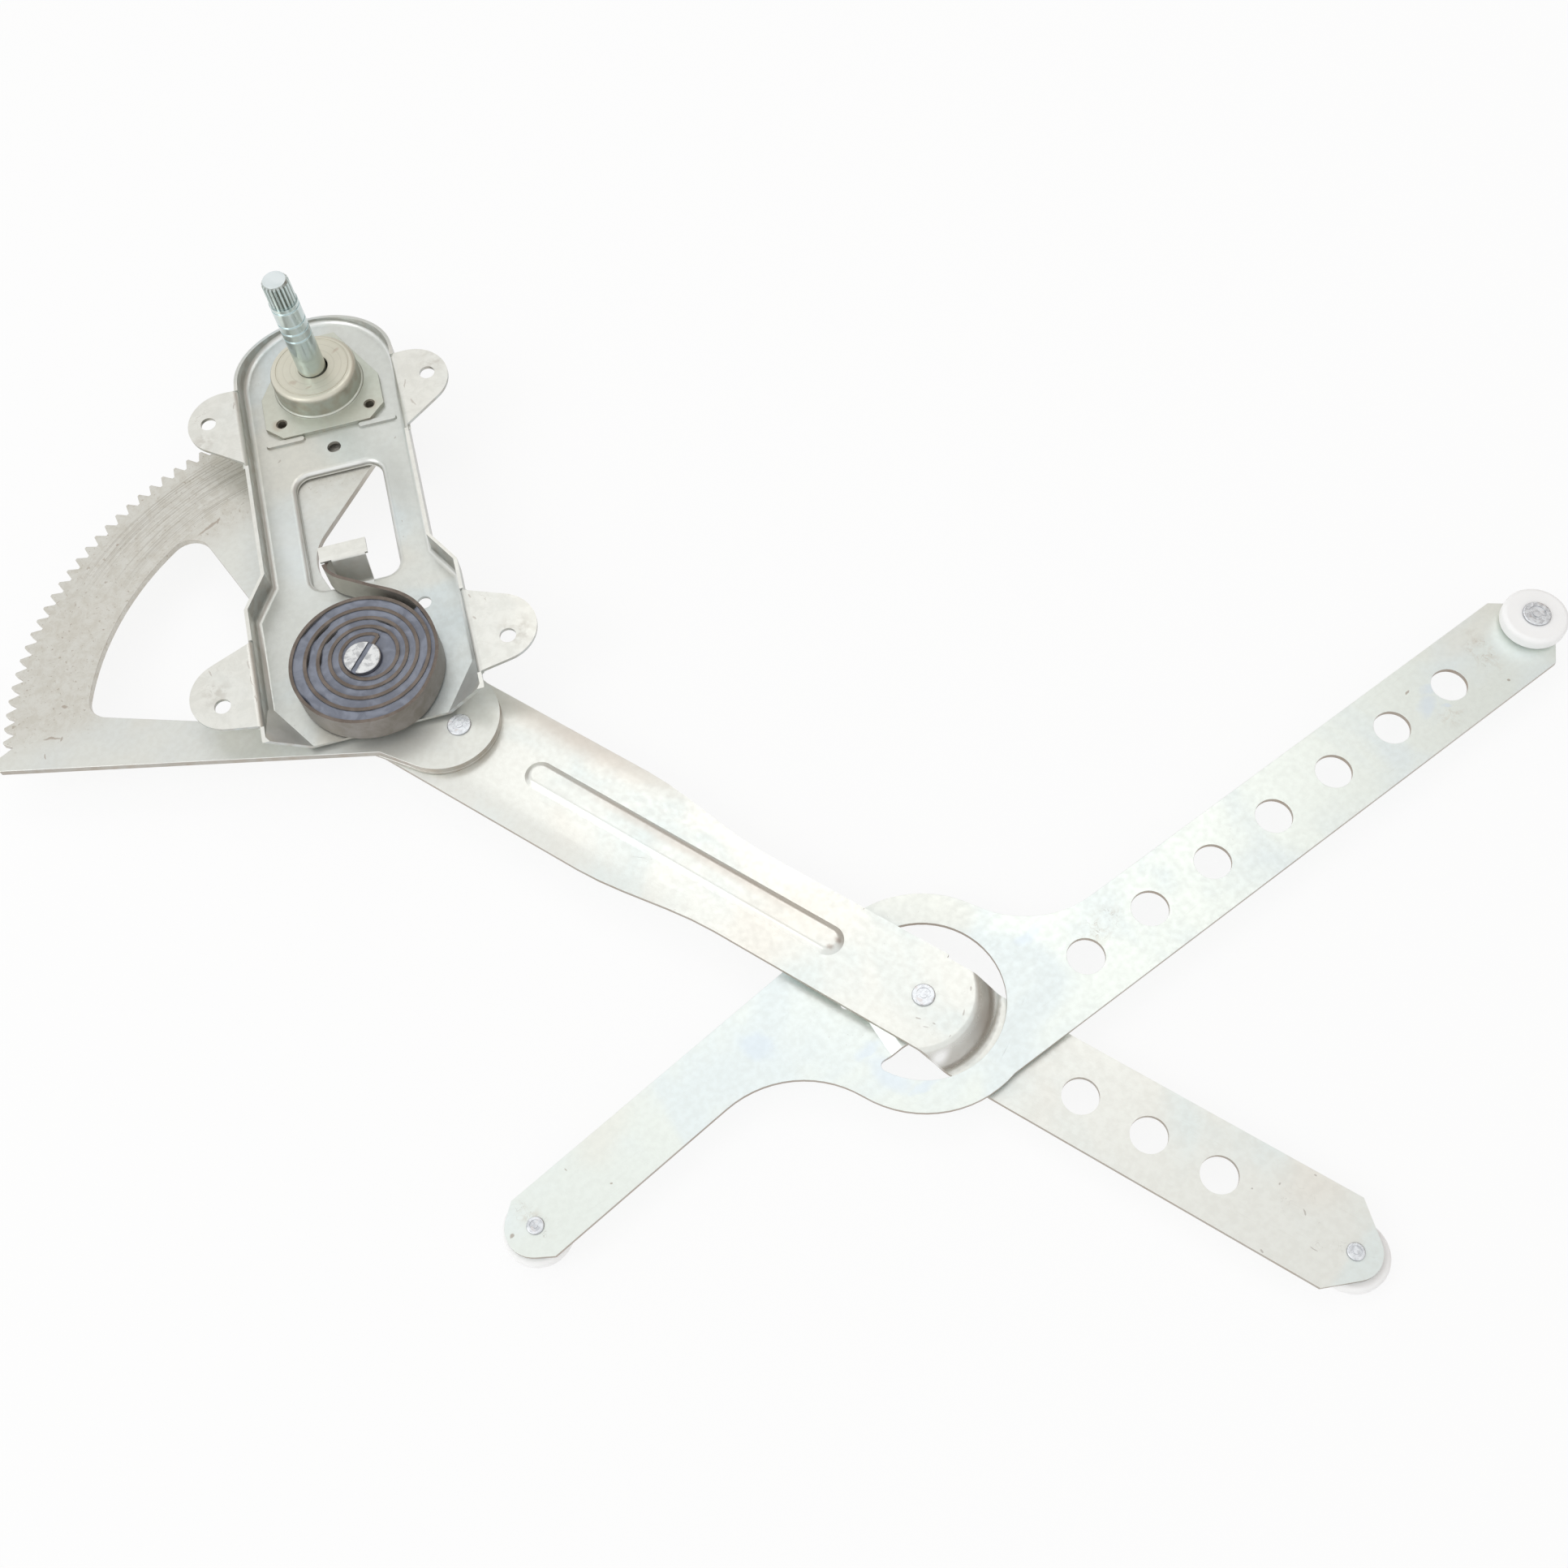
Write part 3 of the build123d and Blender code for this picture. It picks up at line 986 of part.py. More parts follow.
# ---------------------------------------------------------------- all sub-parts
NODES = {
    "base_plate": base_plate(),
    "brake_housing": brake_housing(),
    "housing_eyelet_left": eyelet(EYELET_PLACES[0]),
    "housing_eyelet_right": eyelet(EYELET_PLACES[1]),
    "housing_eyelet_far": eyelet(EYELET_PLACES[2]),
    "wrap_spring": wrap_spring(),
    "pivot_bush": pivot_bush(),
    "counterbalance_spring": counterbalance_spring(),
    "crank_spindle": crank_spindle(),
    "pinion": pinion(),
    "sector_gear": sector_gear(),
    "spacer_plate": spacer_plate(),
    "main_arm": main_arm(),
    "pivot_stud": pivot_stud(),
    "thrust_washer": thrust_washer(),
    "sector_rivet_outer": sector_rivet(SECTOR_RIVET),
    "sector_rivet_inner": sector_rivet(SECTOR_RIVET_HIDDEN),
    "scissor_rivet": scissor_rivet(),
    "scissor_washer": scissor_washer(),
    "lift_roller_pin": hanging_pin(LIFT_PIN, ARM_OUTER_Z, LIFT_BOSS),
    "equalizer_arm": equalizer_arm(),
    "channel_roller_pin": standing_pin(CHANNEL_PIN),
    "tail_roller_pin": hanging_pin(TAIL_PIN, EQUALIZER_Z, TAIL_BOSS),
    "lift_roller": hanging_roller(LIFT_PIN, ARM_OUTER_Z, LIFT_BOSS),
    "channel_roller": roller(CHANNEL_PIN, EQUALIZER_Z + CHANNEL_BOSS + SIDE_GAP / 2, CHANNEL_ROLLER_R),
    "tail_roller": hanging_roller(TAIL_PIN, EQUALIZER_Z, TAIL_BOSS),
}

os.makedirs("parts", exist_ok=True)
for name, shape in NODES.items():
    export_step(shape, f"parts/{name}.step")
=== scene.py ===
import bmesh
import bpy
import json
import math
from mathutils import Matrix, Vector, noise

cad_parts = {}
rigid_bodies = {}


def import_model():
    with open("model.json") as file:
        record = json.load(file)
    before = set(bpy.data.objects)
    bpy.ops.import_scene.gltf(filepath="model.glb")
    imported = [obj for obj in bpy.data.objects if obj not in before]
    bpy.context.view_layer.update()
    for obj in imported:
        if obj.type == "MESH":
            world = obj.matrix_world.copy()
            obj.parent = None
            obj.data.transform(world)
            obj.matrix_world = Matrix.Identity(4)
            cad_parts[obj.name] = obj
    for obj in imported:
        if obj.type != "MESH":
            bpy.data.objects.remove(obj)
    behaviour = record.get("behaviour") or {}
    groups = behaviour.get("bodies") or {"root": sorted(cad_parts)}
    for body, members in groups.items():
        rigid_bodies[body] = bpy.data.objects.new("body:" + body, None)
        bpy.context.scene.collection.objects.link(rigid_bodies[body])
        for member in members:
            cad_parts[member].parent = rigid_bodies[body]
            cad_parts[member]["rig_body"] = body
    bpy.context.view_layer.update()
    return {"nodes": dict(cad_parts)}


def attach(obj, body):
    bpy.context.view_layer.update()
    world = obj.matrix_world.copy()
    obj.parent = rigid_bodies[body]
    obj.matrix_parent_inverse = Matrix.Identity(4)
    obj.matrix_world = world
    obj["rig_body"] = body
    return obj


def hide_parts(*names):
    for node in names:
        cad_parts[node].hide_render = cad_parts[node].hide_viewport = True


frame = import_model()

# ---------------------------------------------------------------- base plate
# The pressed steel pan that everything is mounted on. It is zinc plated and satin,
# with bright rims, partly worn and partly painted highlight, painted shade on upright walls and bends, and
# stained ears where hands have held it.
MM = 0.001                         # places and sizes are in mm, and this turns them into metres
CREASE = math.radians(34)          # edges sharper than this stay hard
FLAT = math.radians(0.3)           # facets that differ by less become one
WELD = 0.001 * MM                  # points that are closer become one
RIM = 0.22 * MM                    # wear-rounded edge of a sheet

# Marks and streaks are listed by x, y, angle, half length and half width, and smudges by x, y,
# inner and outer radius. Pairs of heights or radii are where a change of colour starts and ends.
PAN_NICKS = ((-22.5, 121.7, 70, 1.0, 0.5), (27.2, 119.4, 60, 0.7, 0.4), (44.7, 11.6, -60, 0.9, 0.5),
             (44.5, 22.4, -88, 1.2, 0.5), (36.9, 137.1, -94, 3.2, 0.4), (38.6, 126.4, -72, 2.7, 0.5),
             (-35.6, 147.5, 85, 2.6, 0.4), (-59.0, 16.2, -75, 1.9, 0.4))
PRESS_STROKES = ((-44.2, 16, -84, 2.4, 0.3), (-43.6, 8, -84, 3.0, 0.3), (-43.2, 0, -84, 2.2, 0.3))
BENCH_RUBS = ((50, 18, 0, 12, 9), (-57, 12, 60, 14, 7), (-50, 145, 30, 9, 9))
PALE_STREAK = (-23, 72, 96, 40, 9)
DULL_STREAK = (24, 96, 96, 30, 10)
EAR_SMUDGES = ((-58, 6, 2, 8), (60, 1, 3, 10), (-50, 131, 2, 7), (50, 146, 2, 8))
EAR_Z = (-3.0, -0.6)
LIP_SHADOW_START_Z = (-11.8, -12.3)
LIP_SHADOW_END_Z = (-13.1, -12.8)
LIP_EDGE_Z = (-12.9, -13.2)


class Recipe:
    """A tree of shader nodes, with short calls for the kinds of node that are used here."""

    def __init__(self, tree):
        self.tree = tree

    def add(self, kind, inputs=None, **settings):
        node = self.tree.nodes.new(kind)
        for key, value in settings.items():
            setattr(node, key, value)
        for key, value in (inputs or {}).items():
            self.plug(node.inputs[key], value)
        return node

    def plug(self, socket, value):
        if isinstance(value, bpy.types.NodeSocket):
            self.tree.links.new(value, socket)
        elif isinstance(value, tuple) and len(value) == 3 and socket.type == "RGBA":
            socket.default_value = (*value, 1)
        else:
            socket.default_value = value

    def math(self, operation, first, second=0.0, clamp=False):
        node = self.add("ShaderNodeMath", {0: first, 1: second}, operation=operation, use_clamp=clamp)
        return node.outputs[0]

    def times(self, first, second):
        return self.math("MULTIPLY", first, second)

    def vector_math(self, operation, inputs, output="Vector"):
        return self.add("ShaderNodeVectorMath", inputs, operation=operation).outputs[output]

    def combine(self, x, y=0.0):
        return self.add("ShaderNodeCombineXYZ", {0: x, 1: y}).outputs[0]

    def mix(self, share, first, second):
        return self.add("ShaderNodeMix", {0: share, 6: first, 7: second}, data_type="RGBA").outputs[2]

    def lay(self, color, share, strength, other):
        """The colour with another one laid over it where the share is high."""
        return self.mix(self.times(share, strength), color, other)


class Finish(Recipe):
    """The procedural material of one kind of surface, in the piece's own coordinates."""

    def __init__(self, name, metallic, roughness):
        self.material = bpy.data.materials.new(name)
        self.material.use_nodes = True
        super().__init__(self.material.node_tree)
        self.shader = self.tree.nodes["Principled BSDF"]
        self.plug(self.shader.inputs["Metallic"], metallic)
        self.plug(self.shader.inputs["Roughness"], roughness)
        self.place = self.add("ShaderNodeTexCoord").outputs["Object"]

    def axis(self, name, place=None):
        return self.add("ShaderNodeSeparateXYZ", {0: place or self.place}).outputs[name]

    def step(self, value, low, high, out_low=0.0, out_high=1.0):
        """Smooth change from out_low to out_high while the value goes from low to high."""
        node = self.add("ShaderNodeMapRange", {0: value, 1: low, 2: high, 3: out_low, 4: out_high},
                        interpolation_type="SMOOTHSTEP")
        return node.outputs[0]

    def level(self, start, end, axis="Z"):
        """Smooth change from 0 to 1 between two places along an axis, in mm."""
        return self.step(self.axis(axis), start * MM, end * MM)

    def turned(self, angle, stretch=(1, 1, 1), shift=(0, 0, 0)):
        """The piece's coordinates, turned about Z by an angle in degrees and then stretched."""
        turn = self.add("ShaderNodeMapping", {"Vector": self.place, "Location": shift,
                                              "Rotation": (0, 0, -math.radians(angle))})
        return self.add("ShaderNodeMapping", {"Vector": turn.outputs[0], "Scale": stretch}).outputs[0]

    def noise(self, scale, detail=3.0, place=None, warp=0.0, rough=0.5):
        cloud = self.add("ShaderNodeTexNoise", {"Vector": place or self.place, "Scale": scale,
                                                "Detail": detail, "Distortion": warp, "Roughness": rough})
        return cloud.outputs[0]

    def facing(self):
        """1 on level faces and 0 on upright ones, in proportion to their lean."""
        normal = self.add("ShaderNodeNewGeometry").outputs["Normal"]
        return self.math("ABSOLUTE", self.axis("Z", normal))

    def upright(self):
        """1 on faces that are upright or nearly so, and 0 on the others."""
        return self.step(self.facing(), 0.35, 0.85, 1.0, 0.0)

    def leaning(self):
        """1 on faces that lean, such as rounded rims, and 0 on level and on upright ones."""
        facing = self.facing()
        return self.times(self.step(facing, 0.35, 0.55), self.step(facing, 0.86, 0.97, 1.0, 0.0))

    def distance(self, x, y):
        """Distance in metres from an upright line through a point that is given in mm."""
        flat = self.combine(self.axis("X"), self.axis("Y"))
        return self.vector_math("DISTANCE", {0: flat, 1: (x * MM, y * MM, 0)}, "Value")

    def spot(self, x, y, inner, outer):
        """1 within the inner radius of a point and 0 beyond the outer one, all in mm."""
        return self.step(self.distance(x, y), inner * MM, outer * MM, 1.0, 0.0)

    def wobbled(self, scale=160, reach=1.6):
        """The piece's coordinates, pushed about by a noise that reaches this many mm."""
        cloud = self.add("ShaderNodeTexNoise", {"Vector": self.place, "Scale": scale, "Detail": 3.0})
        centred = self.vector_math("SUBTRACT", {0: cloud.outputs["Color"], 1: (0.5, 0.5, 0.5)})
        pushed = self.vector_math("SCALE", {0: centred, 3: 2 * reach * MM})
        return self.vector_math("ADD", {0: self.place, 1: pushed})

    def mark(self, place, x, y, angle, length, width, soft=0.5):
        """1 on a short mark and 0 beyond it; its centre and half sizes are in mm, its angle in degrees."""
        local = self.add("ShaderNodeMapping", {"Vector": place, "Location": (x * MM, y * MM, 0),
                                               "Rotation": (0, 0, math.radians(angle)),
                                               "Scale": (length * MM, width * MM, 1)}, vector_type="TEXTURE")
        reach = self.vector_math("LENGTH", {0: local.outputs[0]}, "Value")
        return self.step(reach, soft, 1.0, 1.0, 0.0)

    def marks(self, place, listed, soft=0.5):
        """The strongest of several marks at each point."""
        share = 0.0
        for entry in listed:
            share = self.math("MAXIMUM", share, self.mark(place, *entry, soft))
        return share

    def squiggles(self, areas, scale=240):
        """Thin wandering scratches inside some marked areas."""
        wander = self.noise(scale, 2, warp=0.8)
        away = self.math("ABSOLUTE", self.math("SUBTRACT", wander, 0.5))
        line = self.step(away, 0.004, 0.010, 1.0, 0.0)
        broken = self.step(self.noise(170, 3), 0.50, 0.58)
        return self.times(self.times(line, broken), areas)

    def finish(self, color, roughness=None, height=None, depth=0.05):
        """Plugs the worked out values into the shader; the depth of the height's relief is in mm."""
        self.plug(self.shader.inputs["Base Color"], color)
        if roughness is not None:
            self.plug(self.shader.inputs["Roughness"], roughness)
        if height is not None:
            bump = self.add("ShaderNodeBump", {"Height": height, "Strength": 1.0, "Distance": depth * MM})
            self.plug(self.shader.inputs["Normal"], bump.outputs[0])


def plated(made, face, cool, warm, stain, side_tone, side_share, grain, seed, rim_brightening=0.4):
    """Colour, roughness and height of zinc-plated sheet, whose rolled grain runs at an angle in degrees."""
    shifted = made.turned(grain, shift=(seed, seed / 2, 0))
    clouds = made.noise(22, 3, shifted, warp=0.6)
    color = made.mix(made.step(clouds, 0.42, 0.66), face, cool)
    color = made.mix(made.step(made.noise(16, 2, shifted, warp=0.4), 0.56, 0.70, 0, 0.7), color, warm)
    mottle = made.noise(420, 2, shifted)
    color = made.mix(made.step(mottle, 0.3, 0.7, 0, 0.16), color, stain)
    streaks = made.noise(60, 5, made.turned(grain, (1, 22, 1), (seed, 0, 0)), rough=0.7)
    color = made.mix(made.step(streaks, 0.60, 0.72, 0, 0.16), color, stain)

    brown_speck = (0.33, 0.26, 0.20)
    patches = made.step(made.noise(30, 2, shifted), 0.56, 0.70)
    specks = made.step(made.noise(640, 4, shifted, warp=1.5, rough=0.6), 0.70, 0.74)
    color = made.mix(made.times(specks, patches), color, brown_speck)

    scratched = (0.45, 0.42, 0.38)
    hairs = made.noise(38, 6, made.turned(grain + 24, (1, 60, 1), (0, seed, 0)), rough=0.8)
    scratch = made.times(made.step(hairs, 0.66, 0.70), made.step(clouds, 0.50, 0.62))
    color = made.lay(color, scratch, 0.22, scratched)

    # Upright faces take the side tone: the grey or brown of cut edges, and painted shade on upright walls
    # such as the pan's walls and the cup's side.
    cut_rust = (0.36, 0.27, 0.19)
    upright_faces = made.upright()
    rusty = made.times(upright_faces, made.step(made.noise(240, 3, shifted), 0.35, 0.7))
    color = made.lay(color, upright_faces, side_share, side_tone)
    color = made.lay(color, rusty, side_share * 0.5, cut_rust)

    # Leaning faces such as rims and bends are brightened, partly as wear and partly as a painted highlight.
    rim_wear_and_sheen = (0.92, 0.93, 0.91)
    rims = made.times(made.leaning(), made.step(made.noise(90, 3, shifted), 0.30, 0.60, 0.4, 1.0))
    color = made.lay(color, rims, rim_brightening, rim_wear_and_sheen)

    roughness = made.step(made.math("ADD", made.times(mottle, 0.4), clouds), 0.5, 1.0, 0.30, 0.46)
    height = made.math("ADD", made.times(made.noise(1500, 2), 0.35), made.times(scratch, -0.6))
    return color, roughness, height


def dressed(node, finish, rim=RIM, weld=WELD):
    """Puts a welded copy with rounded edges in the place of a CAD node."""
    source = frame["nodes"][node]
    body = source["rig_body"]
    work = bmesh.new()
    work.from_mesh(source.data)
    bmesh.ops.remove_doubles(work, verts=work.verts, dist=weld)
    bmesh.ops.dissolve_limit(work, angle_limit=FLAT, verts=work.verts, edges=work.edges)
    mesh = bpy.data.meshes.new(node + "_finished")
    work.to_mesh(mesh)
    work.free()
    mesh.shade_smooth()
    mesh.set_sharp_from_angle(angle=CREASE)
    mesh.materials.append(finish.material)
    piece = bpy.data.objects.new(node + "_finished", mesh)
    bpy.context.scene.collection.objects.link(piece)
    bevel = piece.modifiers.new("rim", "BEVEL")
    bevel.width = rim
    bevel.segments = 2
    bevel.limit_method = "ANGLE"
    bevel.angle_limit = CREASE
    bevel.harden_normals = True
    level = piece.modifiers.new("level", "WEIGHTED_NORMAL")
    level.keep_sharp = True
    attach(piece, body)
    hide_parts(node)


base = Finish("satin zinc pan", 0.72, 0.4)
color, roughness, height = plated(
    base, face=(0.73, 0.75, 0.71), cool=(0.71, 0.77, 0.77), warm=(0.74, 0.72, 0.64),
    stain=(0.50, 0.50, 0.46), side_tone=(0.50, 0.52, 0.50), side_share=0.65, grain=96, seed=0.31, rim_brightening=0.85)

ear_scuffed = (0.80, 0.79, 0.73)
ear_clean = (0.88, 0.87, 0.81)
scuffs = base.step(base.noise(170, 5, warp=0.5, rough=0.7), 0.38, 0.62)
ears = base.times(base.times(base.level(*EAR_Z), 0.75), base.math("SUBTRACT", 1.0, base.upright()))
color = base.mix(ears, color, base.mix(scuffs, ear_scuffed, ear_clean))

pale_streak = base.mark(base.place, *PALE_STREAK, 0.0)
color = base.lay(color, pale_streak, 0.6, (0.84, 0.88, 0.87))
dull_streak = base.mark(base.place, *DULL_STREAK, 0.0)
color = base.lay(color, dull_streak, 0.5, (0.52, 0.53, 0.50))

# The window's lip is rolled down below the floor of the pan: dark in its bend and bright on its edge.
lip_shadow = base.times(base.level(*LIP_SHADOW_START_Z), base.level(*LIP_SHADOW_END_Z))
color = base.lay(color, lip_shadow, 0.45, (0.34, 0.33, 0.30))
lip_edge = base.level(*LIP_EDGE_Z)
color = base.lay(color, lip_edge, 0.85, (0.93, 0.95, 0.93))

for smudge in EAR_SMUDGES:
    patchy = base.times(base.spot(*smudge), base.step(base.noise(260, 3), 0.42, 0.62))
    color = base.lay(color, patchy, 0.35, (0.44, 0.40, 0.34))
wavy = base.wobbled()
nicks = base.marks(wavy, PAN_NICKS + PRESS_STROKES)
color = base.lay(color, nicks, 0.42, (0.36, 0.29, 0.24))
bench_rub = base.squiggles(base.marks(wavy, BENCH_RUBS, 0.1))
color = base.lay(color, bench_rub, 0.4, (0.36, 0.31, 0.26))
base.finish(color, roughness, height)
dressed("base_plate", base)

# ---------------------------------------------------------------- brake housing
# A deep-drawn steel cup on an eight-sided flange, held to the pan by three hollow rivets.
# Its dull zinc has yellowed; the cup's side carries painted shade and its top a painted highlight. The bore
# has a raised lip.
SPINDLE_PLACE = (0.0, 157.0)
HOUSING_STAINS = ((-9, 150.5, 0, 3, 1.6), (-3, 146, 20, 2, 0.8), (11, 163, 40, 3, 1),
                  (-20, 139, 0, 4, 3.6), (20.5, 138.8, 0, 4, 3.4))
CUP_TOP_Z = (-1.0, 1.0)
TUBE_SIDES = 72


def painted(node, finish):
    """Puts a finish on a CAD node that is shown as it is."""
    shown = frame["nodes"][node]
    shown.data.materials.clear()
    shown.data.materials.append(finish.material)


def own_piece(name, points, faces, finish, body, crease=None):
    """A smooth mesh from points in mm, which rides on a body; edges sharper than the crease stay hard."""
    mesh = bpy.data.meshes.new(name)
    mesh.from_pydata([Vector(point) * MM for point in points], [], faces)
    mesh.validate()
    mesh.shade_smooth()
    if crease is not None:
        mesh.set_sharp_from_angle(angle=crease)
    mesh.materials.append(finish.material)
    piece = bpy.data.objects.new(name, mesh)
    bpy.context.scene.collection.objects.link(piece)
    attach(piece, body)


def tube(name, outer, inner, low, high, finish, body, bore_shift=(0, 0)):
    """Closed ring about the spindle's axis, with all sizes in mm; its bore can sit off the axis."""
    angles = [2 * math.pi * index / TUBE_SIDES for index in range(TUBE_SIDES)]
    points = []
    for radius, shift, z in ((outer, (0, 0), low), (outer, (0, 0), high), (inner, bore_shift, high),
                             (inner, bore_shift, low)):
        x = SPINDLE_PLACE[0] + shift[0]
        y = SPINDLE_PLACE[1] + shift[1]
        points += [(x + radius * math.cos(angle), y + radius * math.sin(angle), z) for angle in angles]
    faces = []
    for ring in range(4):
        here = ring * TUBE_SIDES
        there = (ring + 1) % 4 * TUBE_SIDES
        for index in range(TUBE_SIDES):
            after = (index + 1) % TUBE_SIDES
            faces.append((here + index, here + after, there + after, there + index))
    own_piece(name, points, faces, finish, body, CREASE)


housing = Finish("dull zinc cup", 0.6, 0.45)
color, roughness, height = plated(
    housing, face=(0.66, 0.67, 0.58), cool=(0.64, 0.68, 0.60), warm=(0.68, 0.60, 0.48),
    stain=(0.46, 0.44, 0.36), side_tone=(0.42, 0.44, 0.39), side_share=0.8, grain=10, seed=0.77, rim_brightening=0.2)
# The cup's top is painted lighter, a painted highlight for the light that falls on it.
painted_lit_top = housing.level(*CUP_TOP_Z)
color = housing.lay(color, painted_lit_top, 0.7, (0.74, 0.70, 0.58))
ring_place = housing.combine(housing.times(housing.distance(*SPINDLE_PLACE), 900))
turned_rings = housing.step(housing.noise(1, 3, ring_place), 0.50, 0.66)
color = housing.mix(housing.times(turned_rings, housing.times(painted_lit_top, 0.22)), color, (0.40, 0.38, 0.31))
tan_stains = housing.marks(housing.wobbled(), HOUSING_STAINS, 0.3)
color = housing.lay(color, tan_stains, 0.45, (0.46, 0.36, 0.27))
housing.finish(color, roughness, height)
dressed("brake_housing", housing)
tube("cup_lip", outer=7.05, inner=6.45, low=-0.6, high=1.55, finish=housing,
     body=frame["nodes"]["brake_housing"]["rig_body"], bore_shift=(0.35, 0.05))

eyelet = Finish("dull zinc tube", 0.6, 0.5)
color = eyelet.mix(eyelet.step(eyelet.noise(700, 2), 0.35, 0.65), (0.32, 0.30, 0.25), (0.20, 0.18, 0.14))
eyelet.finish(color)
for side in ("left", "right", "far"):
    painted("housing_eyelet_" + side, eyelet)

# ---------------------------------------------------------------- crank spindle and pinion
# A turned steel shaft with four grooves, a plain collar at its foot and a splined end for the handle.
# It is bright zinc plated and bluish; the pinion below the pan is bare machined steel.
GROOVES = (22.8, 27.0, 31.4, 39.3)
SPLINES_START = 41.4
SPLINE_VALLEY_R = (5.0, 5.6)
TIP_Z = (49.0, 52.0)               # the bright tip sets in between these heights
FOOT_Z = (3.0, 12.0)               # the yellowed foot fades out between these

spindle = Finish("bright blue zinc", 0.85, 0.2)
lathe_rings = spindle.noise(420, 2, spindle.turned(0, (0.02, 0.02, 1)))
blush = spindle.noise(90, 3, warp=0.4)
color = spindle.mix(spindle.step(blush, 0.38, 0.66), (0.56, 0.65, 0.64), (0.64, 0.71, 0.70))
color = spindle.mix(spindle.step(lathe_rings, 0.45, 0.65, 0, 0.14), color, (0.44, 0.50, 0.50))

height_mm = spindle.math("DIVIDE", spindle.axis("Z"), MM)
# The bright bands at the grooves are a painted highlight.
groove_highlight = 0.0
for groove in GROOVES:
    away = spindle.math("ABSOLUTE", spindle.math("SUBTRACT", height_mm, groove))
    groove_highlight = spindle.math("MAXIMUM", groove_highlight, spindle.step(away, 0.45, 0.85, 1.0, 0.0))
color = spindle.lay(color, groove_highlight, 0.8, (0.80, 0.90, 0.91))

upright = spindle.upright()
# Painted shade in the valleys between the splines.
valley_shade = spindle.times(spindle.spot(*SPINDLE_PLACE, *SPLINE_VALLEY_R),
                        spindle.step(height_mm, SPLINES_START, SPLINES_START + 0.4))
color = spindle.lay(color, spindle.times(valley_shade, upright), 0.75, (0.26, 0.26, 0.22))
# The level faces of the tip are painted lighter, as painted light on the top.
lit_tip = spindle.times(spindle.step(height_mm, *TIP_Z), spindle.math("SUBTRACT", 1.0, upright))
color = spindle.mix(spindle.times(lit_tip, spindle.step(blush, 0.3, 0.6, 0.6, 0.95)), color, (0.86, 0.92, 0.93))
foot = spindle.times(spindle.step(height_mm, *FOOT_Z, 0.6, 0.0), spindle.step(blush, 0.35, 0.6))
color = spindle.mix(foot, color, (0.56, 0.54, 0.42))
spindle.finish(color, spindle.step(blush, 0.3, 0.7, 0.15, 0.24), lathe_rings, 0.003)
dressed("crank_spindle", spindle, rim=0.12 * MM)
tube("spindle_collar", outer=5.95, inner=3.0, low=-5.0, high=2.3, finish=spindle,
     body=frame["nodes"]["crank_spindle"]["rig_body"])

pinion = Finish("machined steel", 0.9, 0.35)
color = pinion.mix(pinion.step(pinion.noise(160, 4), 0.4, 0.65), (0.42, 0.41, 0.39), (0.20, 0.17, 0.14))
pinion.finish(color, height=pinion.noise(700, 3), depth=0.03)
painted("pinion", pinion)

# ---------------------------------------------------------------- counterbalance and wrap springs
# Coiled strip of oiled spring steel, blue-brown on its cut edges, and packed with blue-grey grease.
# The brake's wrap spring is the same steel and sits out of sight in the cup.
STUD_Y = 4.0
STUD_TOP_Z = 3.9
STUD_SLOT_ANGLE = 52.0
SPRING_STRIP = 1.35
SPRING_TOP_Z = 2.0
SPRING_START_R = 8.5
SPRING_PITCH = 3.37                # growth of the first turn; each later turn opens out a little more
SPRING_OPENING = 0.23
SPRING_SIDE_SHIFT = (1.9, 0.4)     # the inner turns sit off the stud: first shift, loss per turn
SPRING_UP_SHIFT = (2.1, 0.05)
SPRING_END_ANGLE = 1740.0
TAIL_START_ANGLE = 1770.0
TAIL_START_R = 28.2
TAIL_GROWTH = 5.77                 # how far the tail has left the coil after the turn below
TAIL_TURN = 105.0
TAIL_POWER = 1.58
TAIL_SIDE_Y = (32.0, 37.0)

GREASE_CORE_R = 7.3                # it lies against the stud inside the first turn
GREASE_END_ANGLE = TAIL_START_ANGLE + 68
GREASE_STEP_ANGLE = 3.0
GREASE_ACROSS = 9                  # points across the band
GREASE_SINK = 0.85                 # its middle lies this far below the strip's edge
GREASE_THICK = 4.0
GREASE_CLING = 0.34                # it climbs the strip on both sides
GREASE_CORE_RISE = 0.25
GREASE_LUMP = 0.20
GREASE_GAP = 5.0
SLOT_GREASE = (6.9, 0.97)          # half length and half width
SLOT_GREASE_ROWS = 24
SLOT_GREASE_ACROSS = (-1, -0.5, 0, 0.5, 1)
SLOT_GREASE_SINK = 0.45
SLOT_GREASE_DEPTH = 3.0


def spring_radius(angle):
    """Radius of the strip's centre line about the stud; the angle in degrees runs on from turn to turn."""
    if angle > SPRING_END_ANGLE:
        share = max(angle - TAIL_START_ANGLE, 0.0) / TAIL_TURN
        return TAIL_START_R + TAIL_GROWTH * share ** TAIL_POWER
    turn = angle / 360
    side_shift = SPRING_SIDE_SHIFT[0] - SPRING_SIDE_SHIFT[1] * turn
    up_shift = SPRING_UP_SHIFT[0] - SPRING_UP_SHIFT[1] * turn
    even = SPRING_START_R + SPRING_PITCH * turn + SPRING_OPENING * turn ** 2
    return even + side_shift * math.cos(math.radians(angle)) + up_shift * math.sin(math.radians(angle))


def bar_faces(ring, rows):
    """Faces of a closed bar whose points come row after row, with a ring of points in each."""
    faces = []
    for index in range(rows):
        for step in range(ring):
            here = index * ring + step
            beside = index * ring + (step + 1) % ring
            faces.append((here, here + ring, beside + ring, beside))
    faces.append(tuple(range(ring)))
    faces.append(tuple(reversed(range(rows * ring, (rows + 1) * ring))))
    return faces


